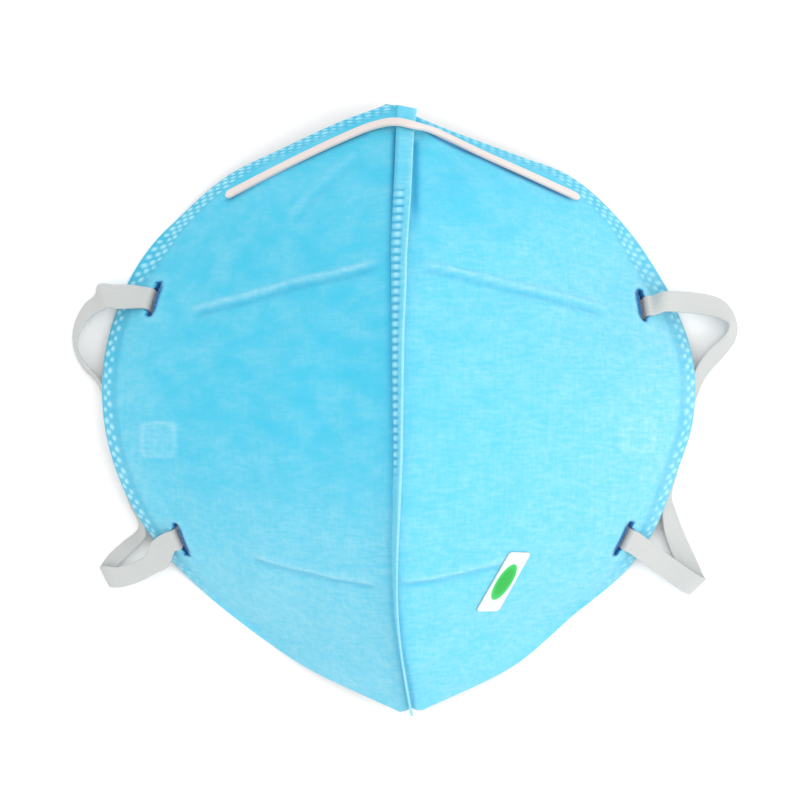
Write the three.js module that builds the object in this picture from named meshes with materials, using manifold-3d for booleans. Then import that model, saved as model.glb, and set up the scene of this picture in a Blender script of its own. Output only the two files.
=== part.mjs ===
// A flat-fold respirator mask with ear loops, opened out and lying with its rim down.
// Millimetres, +Z up, +Y towards the nose, +X to the wearer's left.
import * as THREE from 'three';
import { mergeVertices } from 'three/addons/utils/BufferGeometryUtils.js';
import Module from 'manifold-3d';

const wasm = await Module();
wasm.setup();

// Half shells: layers of nonwoven, pressed thinner in the weld round the rim.
const WALL = 1.6;
const RIM_WALL = 1.0;
const RIM_WELD_WIDTH = 5;
const RIDGE_SLOPE_SHARE = 0.62; // slope at the ridge over the mean slope from ridge to rim
const GAP = 0.3; // air between two neighbouring pieces
const SHELL_STEPS = { across: 18, along: 28 };

// Centre seam: the two halves' welded allowance, lying over to +X at the nose, upright lower down.
const SEAM_THICKNESS = 1.0;
const SEAM_STEPS = { across: 2, along: 36 };

// Nose clip: a flat strip with rounded ends, stuck on under the top edge.
const CLIP_WIDTH = 2.4;
const CLIP_THICKNESS = 0.9;
const CLIP_GAP = 0.65;
const CLIP_STEPS = { across: 2, along: 60 };
const CLIP_END_LENGTH = 1.4; // length over which an end rounds off
const CLIP_END_WIDTH = 0.9;

// Ear loops: flat elastic, threaded outwards through a slit, with a tab welded inside.
const BAND_WIDTH = 6;
const BAND_THICKNESS = 0.8;
const BAND_STEPS_PER_ROW = 3;
const SLIT_LENGTH = 8.2;
const SLIT_WIDTH = 2.2;
const SLIT_DEPTH = 12;

// Label: a slanted sticker low on the +X half.
const LABEL_THICKNESS = 0.4;

const BLUE_LEFT = { color: 0x66d0f0, roughness: 0.9, metalness: 0 };
const BLUE_RIGHT = { color: 0x86e4fa, roughness: 0.9, metalness: 0 };
const SEAM_BLUE = { color: 0x74daf5, roughness: 0.85, metalness: 0 };
const CLIP_WHITE = { color: 0xf3e6df, roughness: 0.5, metalness: 0 };
const LABEL_WHITE = { color: 0xeef6f4, roughness: 0.45, metalness: 0 };
const ELASTIC_WHITE = { color: 0xdcdcda, roughness: 0.8, metalness: 0 };

// A table with named columns, one row for each section.
function table(columns, rows) {
  return rows.map((row) => Object.fromEntries(columns.map((name, i) => [name, row[i]])));
}

// Sections of the shell from the nose to the chin. Each one runs from the ridge (x, y, z)
// to the left rim (lx, ly) and the right rim (rx, ry), which are both at rimZ. The rim dips
// below the surface it lies on at the four places where it is flattened.
const SECTIONS = table(
  ['x', 'y', 'z', 'lx', 'ly', 'rx', 'ry', 'rimZ'],
  [
    [-1.8, 77.3, 19.5, -5.0, 77.6, 2.4, 74.8, 19.0],
    [-2.1, 69.0, 27.5, -17.0, 73.3, 13.5, 70.5, 15.0],
    [-2.4, 60.0, 36.0, -31.0, 66.9, 28.0, 65.2, 10.4],
    [-2.8, 50.5, 44.0, -45.0, 60.0, 42.5, 59.5, 6.0],
    [-3.2, 40.0, 51.0, -56.5, 50.4, 54.5, 49.0, 2.0],
    [-3.1, 28.0, 56.0, -66.2, 39.8, 63.5, 36.5, -2.6],
    [-3.0, 15.0, 59.0, -73.2, 27.0, 70.2, 24.0, 1.4],
    [-2.8, 2.0, 60.0, -77.0, 12.6, 73.9, 11.5, 6.8],
    [-2.6, -11.0, 59.5, -77.1, -2.0, 73.6, -3.0, 8.4],
    [-2.8, -24.0, 57.0, -73.7, -16.2, 69.4, -16.5, 8.2],
    [-3.0, -37.0, 52.0, -67.0, -29.5, 64.2, -30.0, 6.4],
    [-2.6, -49.0, 44.5, -56.6, -41.9, 56.5, -41.3, 1.8],
    [-1.4, -59.0, 35.5, -42.0, -54.2, 43.0, -52.5, -2.6],
    [0.0, -67.0, 26.5, -25.0, -66.0, 27.5, -65.6, 4.0],
    [1.6, -76.4, 13.0, -1.6, -77.0, 4.8, -76.5, 11.0],
  ],
);

// The seam allowance from the nose to the chin: its width, and how far it lies over,
// from 0 (upright) to 1 (flat on the +X half).
const SEAM_ROWS = table(
  ['width', 'lie'],
  [
    [4.8, 0.8],
    [4.8, 0.88],
    [4.8, 0.8],
    [4.4, 0.56],
    [4.0, 0.44],
    [3.8, 0.38],
    [3.6, 0.32],
    [3.4, 0.26],
    [3.0, 0.2],
    [2.4, 0.1],
    [1.2, 0.0],
  ],
);

// Slits: middle, direction along the slit towards the nose, seen from above.
const SLITS = {
  upperLeft: { side: -1, x: -63.75, y: 28.15, alongX: 2.3, alongY: 7.3 },
  upperRight: { side: 1, x: 60.3, y: 26.65, alongX: -1.0, alongY: 7.5 },
  lowerLeft: { side: -1, x: -57.0, y: -33.2, alongX: -3.3, alongY: 7.6 },
  lowerRight: { side: 1, x: 55.5, y: -32.9, alongX: 3.6, alongY: 7.0 },
};

// The way of a band through its slit: distance outwards along the shell, height above it.
const THREADING = table(
  ['out', 'up'],
  [
    [-7.0, -3.3],
    [-3.5, -2.8],
    [-1.6, -2.6],
    [-0.75, -2.35],
    [-0.2, -1.75],
    [0.0, -0.8],
    [0.2, 0.15],
    [0.75, 0.75],
    [1.6, 1.0],
    [3.0, 1.1],
  ],
);

// The free part of each ear loop from its upper to its lower slit: the two edges of the
// band, a on the nose side or outside and b on the other.
const BAND_COLUMNS = ['ax', 'ay', 'az', 'bx', 'by', 'bz'];
const LEFT_BAND = table(BAND_COLUMNS, [
  [-70.0, 31.8, 7.4, -70.0, 25.7, 8.2],
  [-73.8, 31.8, 6.2, -73.4, 25.6, 7.2],
  [-78.0, 32.0, 4.6, -75.6, 26.0, 6.4],
  [-78.9, 29.2, 1.8, -77.0, 25.4, 6.2],
  [-81.6, 26.8, 0.6, -79.2, 24.2, 6.0],
  [-83.9, 22.4, 0.5, -82.2, 21.2, 6.2],
  [-84.4, 16.8, 0.5, -83.8, 16.6, 6.4],
  [-82.4, 11.4, 0.5, -81.8, 11.8, 6.3],
  [-77.9, 6.2, 0.5, -77.1, 6.6, 5.9],
  [-75.6, -2.6, 0.5, -73.4, -2.0, 5.7],
  [-73.4, -13.0, 0.5, -70.8, -12.2, 5.5],
  [-70.4, -23.4, 0.5, -67.8, -22.4, 5.4],
  [-67.7, -30.0, 0.5, -66.2, -32.4, 5.3],
  [-71.8, -33.8, 0.5, -70.0, -36.6, 4.6],
  [-75.6, -37.2, 0.5, -73.8, -41.0, 2.8],
  [-77.4, -39.6, 0.9, -74.8, -44.8, 1.0],
  [-77.6, -39.9, 2.2, -75.0, -45.2, 2.3],
  [-76.6, -39.8, 3.5, -74.0, -45.4, 3.4],
  [-73.4, -40.1, 4.8, -71.2, -45.0, 4.2],
  [-69.6, -39.0, 6.2, -67.0, -43.6, 5.2],
  [-66.0, -37.0, 8.2, -63.2, -41.6, 6.8],
  [-64.4, -33.6, 10.0, -60.4, -40.2, 8.4],
]);
const RIGHT_BAND = table(BAND_COLUMNS, [
  [66.2, 30.1, 8.4, 66.2, 24.9, 9.2],
  [71.0, 30.0, 6.6, 70.6, 24.7, 7.8],
  [76.1, 29.4, 4.6, 75.1, 24.3, 7.0],
  [80.7, 28.0, 2.2, 79.2, 23.6, 6.2],
  [83.2, 25.4, 0.8, 81.4, 22.8, 6.1],
  [84.3, 22.6, 0.5, 82.6, 21.9, 6.2],
  [84.6, 19.8, 0.5, 82.4, 20.4, 6.0],
  [83.6, 16.8, 0.5, 80.6, 18.2, 5.6],
  [80.8, 13.2, 0.5, 77.8, 15.6, 5.4],
  [76.6, 8.4, 0.5, 74.4, 11.0, 5.4],
  [73.6, 1.4, 0.5, 71.2, 3.4, 5.6],
  [71.3, -8.2, 0.5, 68.8, -7.4, 5.7],
  [69.2, -16.2, 0.5, 66.6, -16.6, 5.6],
  [67.8, -22.1, 0.5, 65.4, -23.0, 5.4],
  [69.0, -26.0, 0.5, 65.5, -27.0, 4.8],
  [71.1, -31.3, 0.5, 66.0, -31.2, 3.6],
  [73.0, -35.4, 0.5, 67.4, -35.4, 2.4],
  [75.1, -39.9, 0.6, 69.8, -41.0, 1.2],
  [76.3, -42.6, 0.9, 71.9, -46.6, 0.9],
  [76.6, -43.0, 2.2, 72.2, -47.1, 2.2],
  [75.6, -42.7, 3.5, 71.4, -46.7, 3.5],
  [70.0, -39.0, 5.2, 66.4, -43.2, 4.9],
  [65.6, -35.9, 7.4, 62.6, -40.6, 7.0],
]);

// The strip's middle line, seen from above, on each side of the ridge, outer end first.
const CLIP_LEFT = [
  [-45.0, 53.9],
  [-30.6, 61.1],
  [-16.3, 67.8],
  [-8.2, 71.1],
];
const CLIP_RIGHT = [
  [7.4, 69.6],
  [19.1, 64.2],
  [32.0, 58.5],
  [44.0, 53.2],
];
const CLIP_OVER_SEAM = table(
  ['t', 'x'],
  [
    [0.05, -0.6],
    [0.058, 4.4],
  ],
);

// The label's corners, seen from above: the upper and lower ends of its left and right edges.
const LABEL_LEFT = [
  [26.4, -35.9],
  [17.8, -50.9],
];
const LABEL_RIGHT = [
  [31.8, -36.1],
  [23.6, -50.9],
];

const vector = (x, y, z) => new THREE.Vector3(x, y, z);

// Smooth curves through the sections: the ridge and the two rims, all from 0 to 1.
function sectionCurve(x, y, z) {
  const points = SECTIONS.map((row) => vector(row[x], row[y], row[z]));
  return new THREE.CatmullRomCurve3(points, false, 'catmullrom', 0.5);
}
const RIDGE = sectionCurve('x', 'y', 'z');
const RIMS = { '-1': sectionCurve('lx', 'ly', 'rimZ'), 1: sectionCurve('rx', 'ry', 'rimZ') };

// A value of a table's column at t from 0 to 1, between evenly spaced rows.
function columnAt(rows, name, t) {
  const place = t * (rows.length - 1);
  const first = Math.min(Math.floor(place), rows.length - 2);
  return THREE.MathUtils.lerp(rows[first][name], rows[first + 1][name], place - first);
}

// The free form of a half shell's outer face: u from 0 at the ridge to 1 at the rim, t from
// nose to chin. It leaves the ridge gently and falls more steeply towards the rim.
function freePoint(side, u, t) {
  const ridge = RIDGE.getPoint(t);
  const rim = RIMS[side].getPoint(t);
  ridge.x += side * GAP / 2;
  const fall = RIDGE_SLOPE_SHARE * u + (1 - RIDGE_SLOPE_SHARE) * u * u;
  return vector(
    THREE.MathUtils.lerp(ridge.x, rim.x, u),
    THREE.MathUtils.lerp(ridge.y, rim.y, u),
    THREE.MathUtils.lerp(ridge.z, rim.z, fall),
  );
}

// The same face, flattened where it rests.
function shellPoint(side, u, t) {
  const point = freePoint(side, u, t);
  point.z = Math.max(point.z, 0);
  return point;
}

// The outward normal of that face.
function shellNormal(side, u, t) {
  const step = 0.004;
  const uLow = Math.max(u - step, 0);
  const uHigh = Math.min(u + step, 1);
  const tLow = Math.max(t - step, 0);
  const tHigh = Math.min(t + step, 1);
  const across = freePoint(side, uHigh, t).sub(freePoint(side, uLow, t));
  const along = freePoint(side, u, tHigh).sub(freePoint(side, u, tLow));
  return across.cross(along).multiplyScalar(-side).normalize();
}

// The direction that halves the angle of the two half shells at the ridge.
function ridgeOut(t) {
  return shellNormal(-1, 0, t).add(shellNormal(1, 0, t)).normalize();
}

// The inner face: a wall further in, mitred at the ridge and pressed thinner at the rim.
function shellInside(side, u, t) {
  const outer = shellPoint(side, u, t);
  const normal = shellNormal(side, u, t);
  const toRim = outer.distanceTo(shellPoint(side, 1, t));
  const wall = THREE.MathUtils.lerp(RIM_WALL, WALL, Math.min(toRim / RIM_WELD_WIDTH, 1));
  if (u === 0) {
    const out = ridgeOut(t);
    out.x = 0;
    return outer.addScaledVector(out, -wall / normal.dot(out));
  }
  const inner = outer.addScaledVector(normal, -wall);
  const ownSide = shellPoint(side, 0, t).x;
  inner.x = side < 0 ? Math.min(inner.x, ownSide) : Math.max(inner.x, ownSide);
  inner.z = Math.max(inner.z, 0);
  return inner;
}

// The place on a half shell that lies at x and y seen from above, as u and t.
function findOnShell(side, x, y) {
  let low = 0;
  let high = 1;
  let u = 0;
  for (let i = 0; i < 40; i += 1) {
    const t = (low + high) / 2;
    const ridge = shellPoint(side, 0, t);
    const rim = shellPoint(side, 1, t);
    u = (x - ridge.x) / (rim.x - ridge.x);
    const yHere = THREE.MathUtils.lerp(ridge.y, rim.y, u);
    if (yHere > y) {
      low = t;
    } else {
      high = t;
    }
  }
  return { u, t: (low + high) / 2 };
}

// A point that floats at a height above the shell at x and y seen from above.
function aboveShell(side, x, y, height) {
  const { u, t } = findOnShell(side, x, y);
  return shellPoint(side, u, t).addScaledVector(shellNormal(side, u, t), height);
}

// A closed body between a top and a bottom face, both functions of u and v from 0 to 1.
function bodyBetween(top, bottom, steps) {
  const positions = [];
  const columns = steps.across + 1;
  const faceSize = columns * (steps.along + 1);
  for (const face of [top, bottom]) {
    for (let j = 0; j <= steps.along; j += 1) {
      for (let i = 0; i <= steps.across; i += 1) {
        positions.push(...face(i / steps.across, j / steps.along).toArray());
      }
    }
  }
  const triangles = [];
  const quad = (a, b, c, d) => triangles.push(a, b, c, a, c, d);
  const at = (i, j) => j * columns + i;
  for (let j = 0; j < steps.along; j += 1) {
    for (let i = 0; i < steps.across; i += 1) {
      const corners = [at(i, j), at(i + 1, j), at(i + 1, j + 1), at(i, j + 1)];
      quad(...corners);
      quad(...corners.reverse().map((corner) => corner + faceSize));
    }
  }
  const wall = (a, b) => quad(b, a, a + faceSize, b + faceSize);
  for (let i = 0; i < steps.across; i += 1) {
    wall(at(i, 0), at(i + 1, 0));
    wall(at(i + 1, steps.along), at(i, steps.along));
  }
  for (let j = 0; j < steps.along; j += 1) {
    wall(at(0, j + 1), at(0, j));
    wall(at(steps.across, j), at(steps.across, j + 1));
  }
  return facingOut(positions, triangles);
}

// Six times the volume that the triangles enclose, negative where they face inwards.
function signedVolume(positions, triangles) {
  let sum = 0;
  for (let k = 0; k < triangles.length; k += 3) {
    const [a, b, c] = triangles.slice(k, k + 3).map((n) => vector(...positions.slice(3 * n, 3 * n + 3)));
    sum += a.dot(b.cross(c));
  }
  return sum;
}

// A geometry of these triangles, turned over if they face inwards.
function facingOut(positions, triangles) {
  const inward = signedVolume(positions, triangles) < 0;
  const indices = inward ? [...triangles].reverse() : triangles;
  const geometry = new THREE.BufferGeometry();
  geometry.setAttribute('position', new THREE.Float32BufferAttribute(positions, 3));
  geometry.setIndex(indices);
  return geometry;
}

// A geometry as a solid for cutting, and a solid as a geometry again.
function toSolid(geometry) {
  return new wasm.Manifold(new wasm.Mesh({
    numProp: 3,
    vertProperties: new Float32Array(geometry.getAttribute('position').array),
    triVerts: new Uint32Array(geometry.getIndex().array),
  }));
}

function fromSolid(solid) {
  const mesh = solid.getMesh();
  const geometry = new THREE.BufferGeometry();
  geometry.setAttribute('position', new THREE.BufferAttribute(mesh.vertProperties, 3));
  geometry.setIndex(new THREE.BufferAttribute(mesh.triVerts, 1));
  return geometry;
}

// A slit's own frame: its middle on the outer face, and its directions along, out and up.
function slitFrame(slit) {
  const { u, t } = findOnShell(slit.side, slit.x, slit.y);
  const up = shellNormal(slit.side, u, t);
  const rise = -(slit.alongX * up.x + slit.alongY * up.y) / up.z;
  const along = vector(slit.alongX, slit.alongY, rise).normalize();
  const out = along.clone().cross(up).multiplyScalar(slit.side).normalize();
  return { middle: shellPoint(slit.side, u, t), along, out, up };
}

// The block that cuts a slit: a box turned into the slit's frame.
function slitBlock(slit) {
  const { middle, along, out, up } = slitFrame(slit);
  const box = new THREE.BoxGeometry(SLIT_LENGTH, SLIT_WIDTH, SLIT_DEPTH);
  box.deleteAttribute('normal');
  box.deleteAttribute('uv');
  const turn = new THREE.Matrix4().makeBasis(along, up.clone().cross(along), up);
  box.applyMatrix4(turn.setPosition(middle));
  return toSolid(mergeVertices(box));
}

// A half shell with its two slits.
function halfShell(side) {
  const outer = (u, t) => shellPoint(side, u, t);
  const inner = (u, t) => shellInside(side, u, t);
  let solid = toSolid(bodyBetween(outer, inner, SHELL_STEPS));
  for (const slit of Object.values(SLITS).filter((each) => each.side === side)) {
    solid = solid.subtract(slitBlock(slit));
  }
  return fromSolid(solid);
}

// The seam allowance: a strip that stands on the ridge and leans over to the +X half.
function centreSeam() {
  const middle = (u, t) => {
    const out = ridgeOut(t);
    const flat = shellPoint(1, 0.05, t).sub(shellPoint(1, 0, t)).normalize();
    const lie = columnAt(SEAM_ROWS, 'lie', t);
    const across = out.clone().lerp(flat, lie).normalize();
    const foot = SEAM_THICKNESS / 2 + GAP * (1 + lie);
    return {
      point: RIDGE.getPoint(t).addScaledVector(out, foot)
        .addScaledVector(across, u * columnAt(SEAM_ROWS, 'width', t)),
      across,
    };
  };
  const face = (height) => (u, t) => {
    const { point, across } = middle(u, t);
    const along = RIDGE.getTangent(t);
    return point.addScaledVector(across.cross(along).normalize(), height);
  };
  return bodyBetween(face(SEAM_THICKNESS / 2), face(-SEAM_THICKNESS / 2), SEAM_STEPS);
}

// A smooth open curve through points.
const throughPoints = (points) => new THREE.CatmullRomCurve3(points, false, 'centripetal');

// The nose clip: it lies on both half shells and steps over the seam allowance.
function noseClip() {
  const height = CLIP_GAP + CLIP_THICKNESS / 2;
  const supports = [
    ...CLIP_LEFT.map(([x, y]) => restOnShell(-1, x, y, height)),
    ...CLIP_OVER_SEAM.map((t) => restOnSeam(t, height)),
    ...CLIP_RIGHT.map(([x, y]) => restOnShell(1, x, y, height)),
  ];
  const middle = throughPoints(supports.map((support) => support.point));
  const length = middle.getLength();
  const face = (lift) => (u, v) => {
    const up = upBetween(supports, v);
    const across = middle.getTangent(v).cross(up).normalize();
    const toEnd = Math.min(v, 1 - v) * length;
    const round = Math.sqrt(Math.min(toEnd / CLIP_END_LENGTH, 1));
    const width = THREE.MathUtils.lerp(CLIP_END_WIDTH, CLIP_WIDTH, round);
    return middle.getPoint(v).addScaledVector(across, (u - 0.5) * width).addScaledVector(up, lift);
  };
  return bodyBetween(face(CLIP_THICKNESS / 2), face(-CLIP_THICKNESS / 2), CLIP_STEPS);
}

// A point above a half shell, and above the seam allowance on the ridge, with the way up there.
function restOnShell(side, x, y, height) {
  const { u, t } = findOnShell(side, x, y);
  return { point: aboveShell(side, x, y, height), up: shellNormal(side, u, t) };
}

function restOnSeam({ t, x }, height) {
  const up = ridgeOut(t);
  const point = RIDGE.getPoint(t).addScaledVector(up, height + GAP + SEAM_THICKNESS);
  point.x += x;
  return { point, up };
}

// The way up at v from 0 to 1, between evenly spaced supports.
function upBetween(supports, v) {
  const place = v * (supports.length - 1);
  const first = Math.min(Math.floor(place), supports.length - 2);
  return supports[first].up.clone().lerp(supports[first + 1].up, place - first).normalize();
}

// The label: a thin patch that follows the +X half.
function label() {
  const face = (height) => (u, v) => {
    const [leftX, leftY] = between(LABEL_LEFT, v);
    const [rightX, rightY] = between(LABEL_RIGHT, v);
    const x = THREE.MathUtils.lerp(leftX, rightX, u);
    const y = THREE.MathUtils.lerp(leftY, rightY, u);
    return aboveShell(1, x, y, height);
  };
  return bodyBetween(face(GAP + LABEL_THICKNESS), face(GAP), { across: 4, along: 8 });
}

// The point at v from 0 to 1 on the line between two points.
const between = ([start, end], v) => start.map((value, i) => THREE.MathUtils.lerp(value, end[i], v));

// The band's two edges where it goes through a slit, from the tab inside to the outside.
function threadedRows(slit) {
  const { middle, along, out, up } = slitFrame(slit);
  return THREADING.map((row) => {
    const centre = middle.clone().addScaledVector(out, row.out).addScaledVector(up, row.up);
    return {
      a: centre.clone().addScaledVector(along, BAND_WIDTH / 2),
      b: centre.addScaledVector(along, -BAND_WIDTH / 2),
    };
  });
}

// An ear loop: inside tab, upper slit, free part, lower slit, inside tab.
function earLoop(upper, lower, rows) {
  const free = rows.map((row) => ({
    a: vector(row.ax, row.ay, row.az),
    b: vector(row.bx, row.by, row.bz),
  }));
  const sections = [...threadedRows(upper), ...free, ...threadedRows(lower).reverse()];
  const edgeA = throughPoints(sections.map((section) => section.a));
  const edgeB = throughPoints(sections.map((section) => section.b));
  const middle = (v) => edgeA.getPoint(v).add(edgeB.getPoint(v)).multiplyScalar(0.5);
  const step = 0.002;
  const face = (height) => (u, v) => {
    const along = middle(Math.min(v + step, 1)).sub(middle(Math.max(v - step, 0)));
    const across = edgeB.getPoint(v).sub(edgeA.getPoint(v));
    const normal = across.cross(along).normalize();
    return edgeA.getPoint(v).lerp(edgeB.getPoint(v), u).addScaledVector(normal, height);
  };
  const steps = { across: 1, along: (sections.length - 1) * BAND_STEPS_PER_ROW };
  return bodyBetween(face(BAND_THICKNESS / 2), face(-BAND_THICKNESS / 2), steps);
}

// A named piece.
function piece(name, geometry, finish) {
  const mesh = new THREE.Mesh(geometry, new THREE.MeshStandardMaterial(finish));
  mesh.name = name;
  return mesh;
}

const mask = new THREE.Group();
mask.add(
  piece('panel_left', halfShell(-1), BLUE_LEFT),
  piece('panel_right', halfShell(1), BLUE_RIGHT),
  piece('centre_seam', centreSeam(), SEAM_BLUE),
  piece('nose_clip', noseClip(), CLIP_WHITE),
  piece('label', label(), LABEL_WHITE),
  piece('ear_loop_left', earLoop(SLITS.upperLeft, SLITS.lowerLeft, LEFT_BAND), ELASTIC_WHITE),
  piece('ear_loop_right', earLoop(SLITS.upperRight, SLITS.lowerRight, RIGHT_BAND), ELASTIC_WHITE),
);

// The origin stands under the middle of the whole mask.
const extent = new THREE.Box3().setFromObject(mask);
mask.position.set(-(extent.min.x + extent.max.x) / 2, -(extent.min.y + extent.max.y) / 2, -extent.min.z);

export default mask;
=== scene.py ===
"""The looks of a flat-fold respirator mask with ear loops, opened out and lying rim down.

Shapes are worked out in millimetres, +Z up, +Y towards the nose and +X to the wearer's
left, and are written into meshes in metres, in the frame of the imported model.
"""

import logging
from dataclasses import dataclass, field
from enum import Enum

import bpy
import numpy as np
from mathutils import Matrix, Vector


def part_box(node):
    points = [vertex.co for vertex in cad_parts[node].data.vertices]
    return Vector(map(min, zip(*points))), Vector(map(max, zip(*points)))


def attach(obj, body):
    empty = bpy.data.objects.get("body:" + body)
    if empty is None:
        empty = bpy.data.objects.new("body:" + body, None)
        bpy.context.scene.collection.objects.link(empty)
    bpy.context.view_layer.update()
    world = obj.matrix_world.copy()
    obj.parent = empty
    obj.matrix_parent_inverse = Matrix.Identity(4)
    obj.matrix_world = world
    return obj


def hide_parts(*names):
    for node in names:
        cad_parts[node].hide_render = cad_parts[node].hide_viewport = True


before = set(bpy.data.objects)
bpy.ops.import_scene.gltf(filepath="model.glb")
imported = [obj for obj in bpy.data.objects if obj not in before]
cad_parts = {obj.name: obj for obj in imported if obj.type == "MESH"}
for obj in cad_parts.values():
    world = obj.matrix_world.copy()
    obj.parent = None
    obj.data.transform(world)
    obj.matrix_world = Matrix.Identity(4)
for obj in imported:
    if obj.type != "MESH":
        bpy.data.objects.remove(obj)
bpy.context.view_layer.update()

MM = 0.001
BODY = "root"
LOG = logging.getLogger("mask")

# Sections of the shell from nose to chin: ridge x, y, z, left rim x, y, right rim x, y, rim z.
SECTIONS = np.array(
    [
        [-1.8, 77.3, 19.5, -5.0, 77.6, 2.4, 74.8, 19.0],
        [-2.1, 69.0, 27.5, -17.0, 73.3, 13.5, 70.5, 15.0],
        [-2.4, 60.0, 36.0, -31.0, 66.9, 28.0, 65.2, 10.4],
        [-2.8, 50.5, 44.0, -45.0, 60.0, 42.5, 59.5, 6.0],
        [-3.2, 40.0, 51.0, -56.5, 50.4, 54.5, 49.0, 2.0],
        [-3.1, 28.0, 56.0, -66.2, 39.8, 63.5, 36.5, -2.6],
        [-3.0, 15.0, 59.0, -73.2, 27.0, 70.2, 24.0, 1.4],
        [-2.8, 2.0, 60.0, -77.0, 12.6, 73.9, 11.5, 6.8],
        [-2.6, -11.0, 59.5, -77.1, -2.0, 73.6, -3.0, 8.4],
        [-2.8, -24.0, 57.0, -73.7, -16.2, 69.4, -16.5, 8.2],
        [-3.0, -37.0, 52.0, -67.0, -29.5, 64.2, -30.0, 6.4],
        [-2.6, -49.0, 44.5, -56.6, -41.9, 56.5, -41.3, 1.8],
        [-1.4, -59.0, 35.5, -42.0, -54.2, 43.0, -52.5, -2.6],
        [0.0, -67.0, 26.5, -25.0, -66.0, 27.5, -65.6, 4.0],
        [1.6, -76.4, 13.0, -1.6, -77.0, 4.8, -76.5, 11.0],
    ]
)

# The seam allowance from nose to chin: its width, and how far it lies over (1 is flat).
SEAM_WIDTHS = np.array([4.8, 4.8, 4.8, 4.4, 4.0, 3.8, 3.6, 3.4, 3.0, 2.4, 1.2])
SEAM_LIES = np.array([0.8, 0.88, 0.8, 0.56, 0.44, 0.38, 0.32, 0.26, 0.2, 0.1, 0.0])

# The way of a band through its slit: distance outwards along the shell, height above it.
THREADING = np.array(
    [
        [-7.0, -3.2],
        [-3.4, -3.2],
        [-1.0, -3.4],
        [0.9, -3.3],
        [1.6, -2.4],
        [1.6, -1.2],
        [1.45, -0.2],
        [1.75, 0.55],
        [2.6, 0.95],
    ]
)

# The free part of each ear loop, upper slit to lower slit: edge a x, y, z and edge b x, y, z.
LEFT_BAND = np.array(
    [
        [-70.0, 31.8, 7.4, -70.0, 25.7, 8.2],
        [-73.8, 31.8, 6.2, -73.4, 25.6, 7.2],
        [-78.0, 32.0, 4.6, -75.6, 26.0, 6.4],
        [-78.9, 29.2, 1.8, -77.0, 25.4, 6.2],
        [-81.6, 26.8, 0.6, -79.2, 24.2, 6.0],
        [-83.9, 22.4, 0.5, -82.2, 21.2, 6.2],
        [-84.4, 16.8, 0.5, -83.8, 16.6, 6.4],
        [-82.4, 11.4, 0.5, -81.8, 11.8, 6.3],
        [-77.9, 6.2, 0.5, -77.1, 6.6, 5.9],
        [-75.6, -2.6, 0.5, -73.4, -2.0, 5.7],
        [-73.4, -13.0, 0.5, -70.8, -12.2, 5.5],
        [-70.4, -23.4, 0.5, -67.8, -22.4, 5.4],
        [-67.7, -30.0, 0.5, -66.2, -32.4, 5.3],
        [-71.8, -33.8, 0.5, -70.0, -36.6, 4.6],
        [-75.6, -37.2, 0.5, -73.8, -41.0, 2.8],
        [-77.4, -39.6, 0.9, -74.8, -44.8, 1.0],
        [-77.6, -39.9, 2.2, -75.0, -45.2, 2.3],
        [-76.6, -39.8, 3.5, -74.0, -45.4, 3.4],
        [-73.4, -40.1, 4.8, -71.2, -45.0, 4.2],
        [-69.6, -39.0, 6.2, -67.0, -43.6, 5.2],
        [-66.0, -37.0, 8.2, -63.2, -41.6, 6.8],
        [-64.4, -33.6, 10.0, -60.4, -40.2, 8.4],
    ]
)
RIGHT_BAND = np.array(
    [
        [66.2, 30.1, 8.4, 66.2, 24.9, 9.2],
        [71.0, 30.0, 6.6, 70.6, 24.7, 7.8],
        [76.1, 29.4, 4.6, 75.1, 24.3, 7.0],
        [80.7, 28.0, 2.2, 79.2, 23.6, 6.2],
        [83.2, 25.4, 0.8, 81.4, 22.8, 6.1],
        [84.3, 22.6, 0.5, 82.6, 21.9, 6.2],
        [84.6, 19.8, 0.5, 82.4, 20.4, 6.0],
        [83.6, 16.8, 0.5, 80.6, 18.2, 5.6],
        [80.8, 13.2, 0.5, 77.8, 15.6, 5.4],
        [76.6, 8.4, 0.5, 74.4, 11.0, 5.4],
        [73.6, 1.4, 0.5, 71.2, 3.4, 5.6],
        [71.3, -8.2, 0.5, 68.8, -7.4, 5.7],
        [69.2, -16.2, 0.5, 66.6, -16.6, 5.6],
        [67.8, -22.1, 0.5, 65.4, -23.0, 5.4],
        [69.0, -26.0, 0.5, 65.5, -27.0, 4.8],
        [71.1, -31.3, 0.5, 66.0, -31.2, 3.6],
        [73.0, -35.4, 0.5, 67.4, -35.4, 2.4],
        [75.1, -39.9, 0.6, 69.8, -41.0, 1.2],
        [76.3, -42.6, 0.9, 71.9, -46.6, 0.9],
        [76.6, -43.0, 2.2, 72.2, -47.1, 2.2],
        [75.6, -42.7, 3.5, 71.4, -46.7, 3.5],
        [70.0, -39.0, 5.2, 66.4, -43.2, 4.9],
        [65.6, -35.9, 7.4, 62.6, -40.6, 7.0],
    ]
)

# The label's middle line seen from above, and the pitch of the seam's ladder weld.
LABEL_LINE = np.array([[29.1, -36.0], [20.7, -50.9]])
LADDER_PITCH = 2.05

# The nose clip's middle line on each half, seen from above.
NOSE_CLIP_LEFT = ((-45.2, 54.0), (-30.6, 61.4), (-16.3, 68.2), (-8.2, 71.5))
NOSE_CLIP_RIGHT = ((7.2, 70.2), (19.1, 64.6), (32.0, 58.9), (44.0, 53.5))


class Side(Enum):
    """A half of the mask, as the sign of its x."""

    LEFT = -1
    RIGHT = 1


def lerp(start: np.ndarray, end: np.ndarray, share: np.ndarray) -> np.ndarray:
    """start plus the share of the way to end."""
    return start + (end - start) * share


def smooth(value: np.ndarray, low: float, high: float) -> np.ndarray:
    """A soft step: 0 below low, 1 above high, 3k^2 - 2k^3 between."""
    share = np.clip((value - low) / (high - low), 0, 1)
    return share * share * (3 - 2 * share)


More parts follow.
